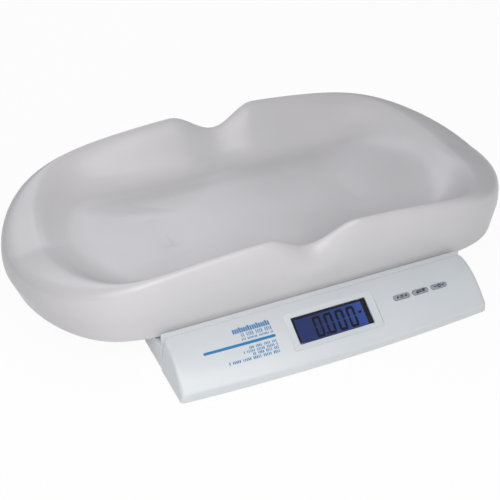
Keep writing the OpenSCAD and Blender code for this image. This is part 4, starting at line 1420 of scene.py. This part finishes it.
@dataclass
class Studio:
    """Camera, floor, world and lamps."""

    camera_at: tuple[float, float, float] = (-428.1, -869.1, 724.9)
    azimuth: float = math.radians(24.92)
    elevation: float = math.radians(35.97)
    roll: float = math.radians(0.47)
    focal_px: float = 1127.0
    picture_px: float = 500.0
    sensor_mm: float = 36.0
    floor_half: float = 6000.0
    whitened: float = 0.95
    soft_strength: float = 0.26
    lamps: tuple[SoftBox, ...] = (
        SoftBox("key", (-0.1, -1.14, 0.853), (0.9, 0.6), 7.2, "#fffdfa"),
        SoftBox("near", (-0.375, -0.375, 0.58), (0.5, 0.4), 1.65, "#fffdfa"),
        SoftBox("back", (0.0, 1.07, 0.95), (1.0, 0.6), 4.4, "#f8faff"))

    def camera(self) -> None:
        """Places the camera as the photograph was taken."""
        data = bpy.data.cameras.new("camera")
        data.sensor_width = self.sensor_mm
        data.lens = self.focal_px / self.picture_px * self.sensor_mm
        data.clip_start, data.clip_end = 0.05, 50.0
        made = bpy.data.objects.new("camera", data)
        bpy.context.scene.collection.objects.link(made)
        sa, ca = math.sin(self.azimuth), math.cos(self.azimuth)
        se, ce = math.sin(self.elevation), math.cos(self.elevation)
        level, upward = Vector((ca, -sa, 0)), Vector((sa * se, ca * se, ce))
        right = math.cos(self.roll) * level + math.sin(self.roll) * upward
        up = math.cos(self.roll) * upward - math.sin(self.roll) * level
        back = -Vector((sa * ce, ca * ce, -se))
        turned = Matrix((right, up, back)).transposed().to_4x4()
        made.matrix_world = Matrix.Translation(Vector(self.camera_at) * MM) @ turned
        bpy.context.scene.camera = made

    def seen_directly(self, tree: Tree) -> Socket:
        """1 for rays from the camera, or off gloss, or through glass."""
        path = add_node(tree, "ShaderNodeLightPath").outputs
        total = path["Is Camera Ray"]
        for name in ("Is Glossy Ray", "Is Transmission Ray"):
            either = add_node(tree, "ShaderNodeMath", {0: total, 1: path[name]}, operation="MAXIMUM")
            total = either.outputs[0]
        return total

    def floor(self) -> None:
        """A plain white floor that keeps a soft shadow and can't be seen from below."""
        far = self.floor_half
        made = mesh_object("floor", [(-far, -far, 0), (far, -far, 0), (far, far, 0), (-far, far, 0)],
                           [[0, 1, 2, 3]])
        material = bpy.data.materials.new("studio_floor")
        material.use_nodes = True
        tree = material.node_tree
        tree.nodes.clear()
        diffuse = add_node(tree, "ShaderNodeBsdfDiffuse", {"Color": srgb("#f4f4f4")})
        white = add_node(tree, "ShaderNodeEmission", {"Color": srgb("#ffffff"), "Strength": 1.0})
        share = add_node(tree, "ShaderNodeMath", {0: self.seen_directly(tree), 1: self.whitened},
                         operation="MULTIPLY")
        lit = add_node(tree, "ShaderNodeMixShader", {
            0: share.outputs[0], 1: diffuse.outputs[0], 2: white.outputs[0]})
        clear = add_node(tree, "ShaderNodeBsdfTransparent")
        behind = add_node(tree, "ShaderNodeNewGeometry").outputs["Backfacing"]
        sided = add_node(tree, "ShaderNodeMixShader", {0: behind, 1: lit.outputs[0], 2: clear.outputs[0]})
        add_node(tree, "ShaderNodeOutputMaterial", {"Surface": sided.outputs[0]})
        made.data.materials.append(material)

    def world(self) -> None:
        """White where it is seen, and soft light elsewhere."""
        world = bpy.data.worlds.new("studio")
        bpy.context.scene.world = world
        world.use_nodes = True
        tree = world.node_tree
        tree.nodes.clear()
        soft = add_node(tree, "ShaderNodeBackground", {
            "Color": srgb("#f2f5fa"), "Strength": self.soft_strength})
        white = add_node(tree, "ShaderNodeBackground", {"Color": srgb("#ffffff"), "Strength": 1.0})
        path = add_node(tree, "ShaderNodeLightPath").outputs["Is Camera Ray"]
        both = add_node(tree, "ShaderNodeMixShader", {0: path, 1: soft.outputs[0], 2: white.outputs[0]})
        add_node(tree, "ShaderNodeOutputWorld", {"Surface": both.outputs[0]})

    def build(self) -> None:
        """Sets the studio up."""
        self.camera()
        self.floor()
        self.world()
        for lamp in self.lamps:
            lamp.build()
        bpy.context.scene.view_settings.view_transform = "Standard"


def main() -> None:
    """Builds the scale, piece by piece, and the studio round it."""
    logging.basicConfig(level=logging.INFO, format="%(name)s: %(message)s")
    Studio().build()
    FramePieces().build()
    CradleTray().build()
    ConsoleDress(Console()).build()
    HousingScrews().build()


if __name__ == "__main__":
    main()
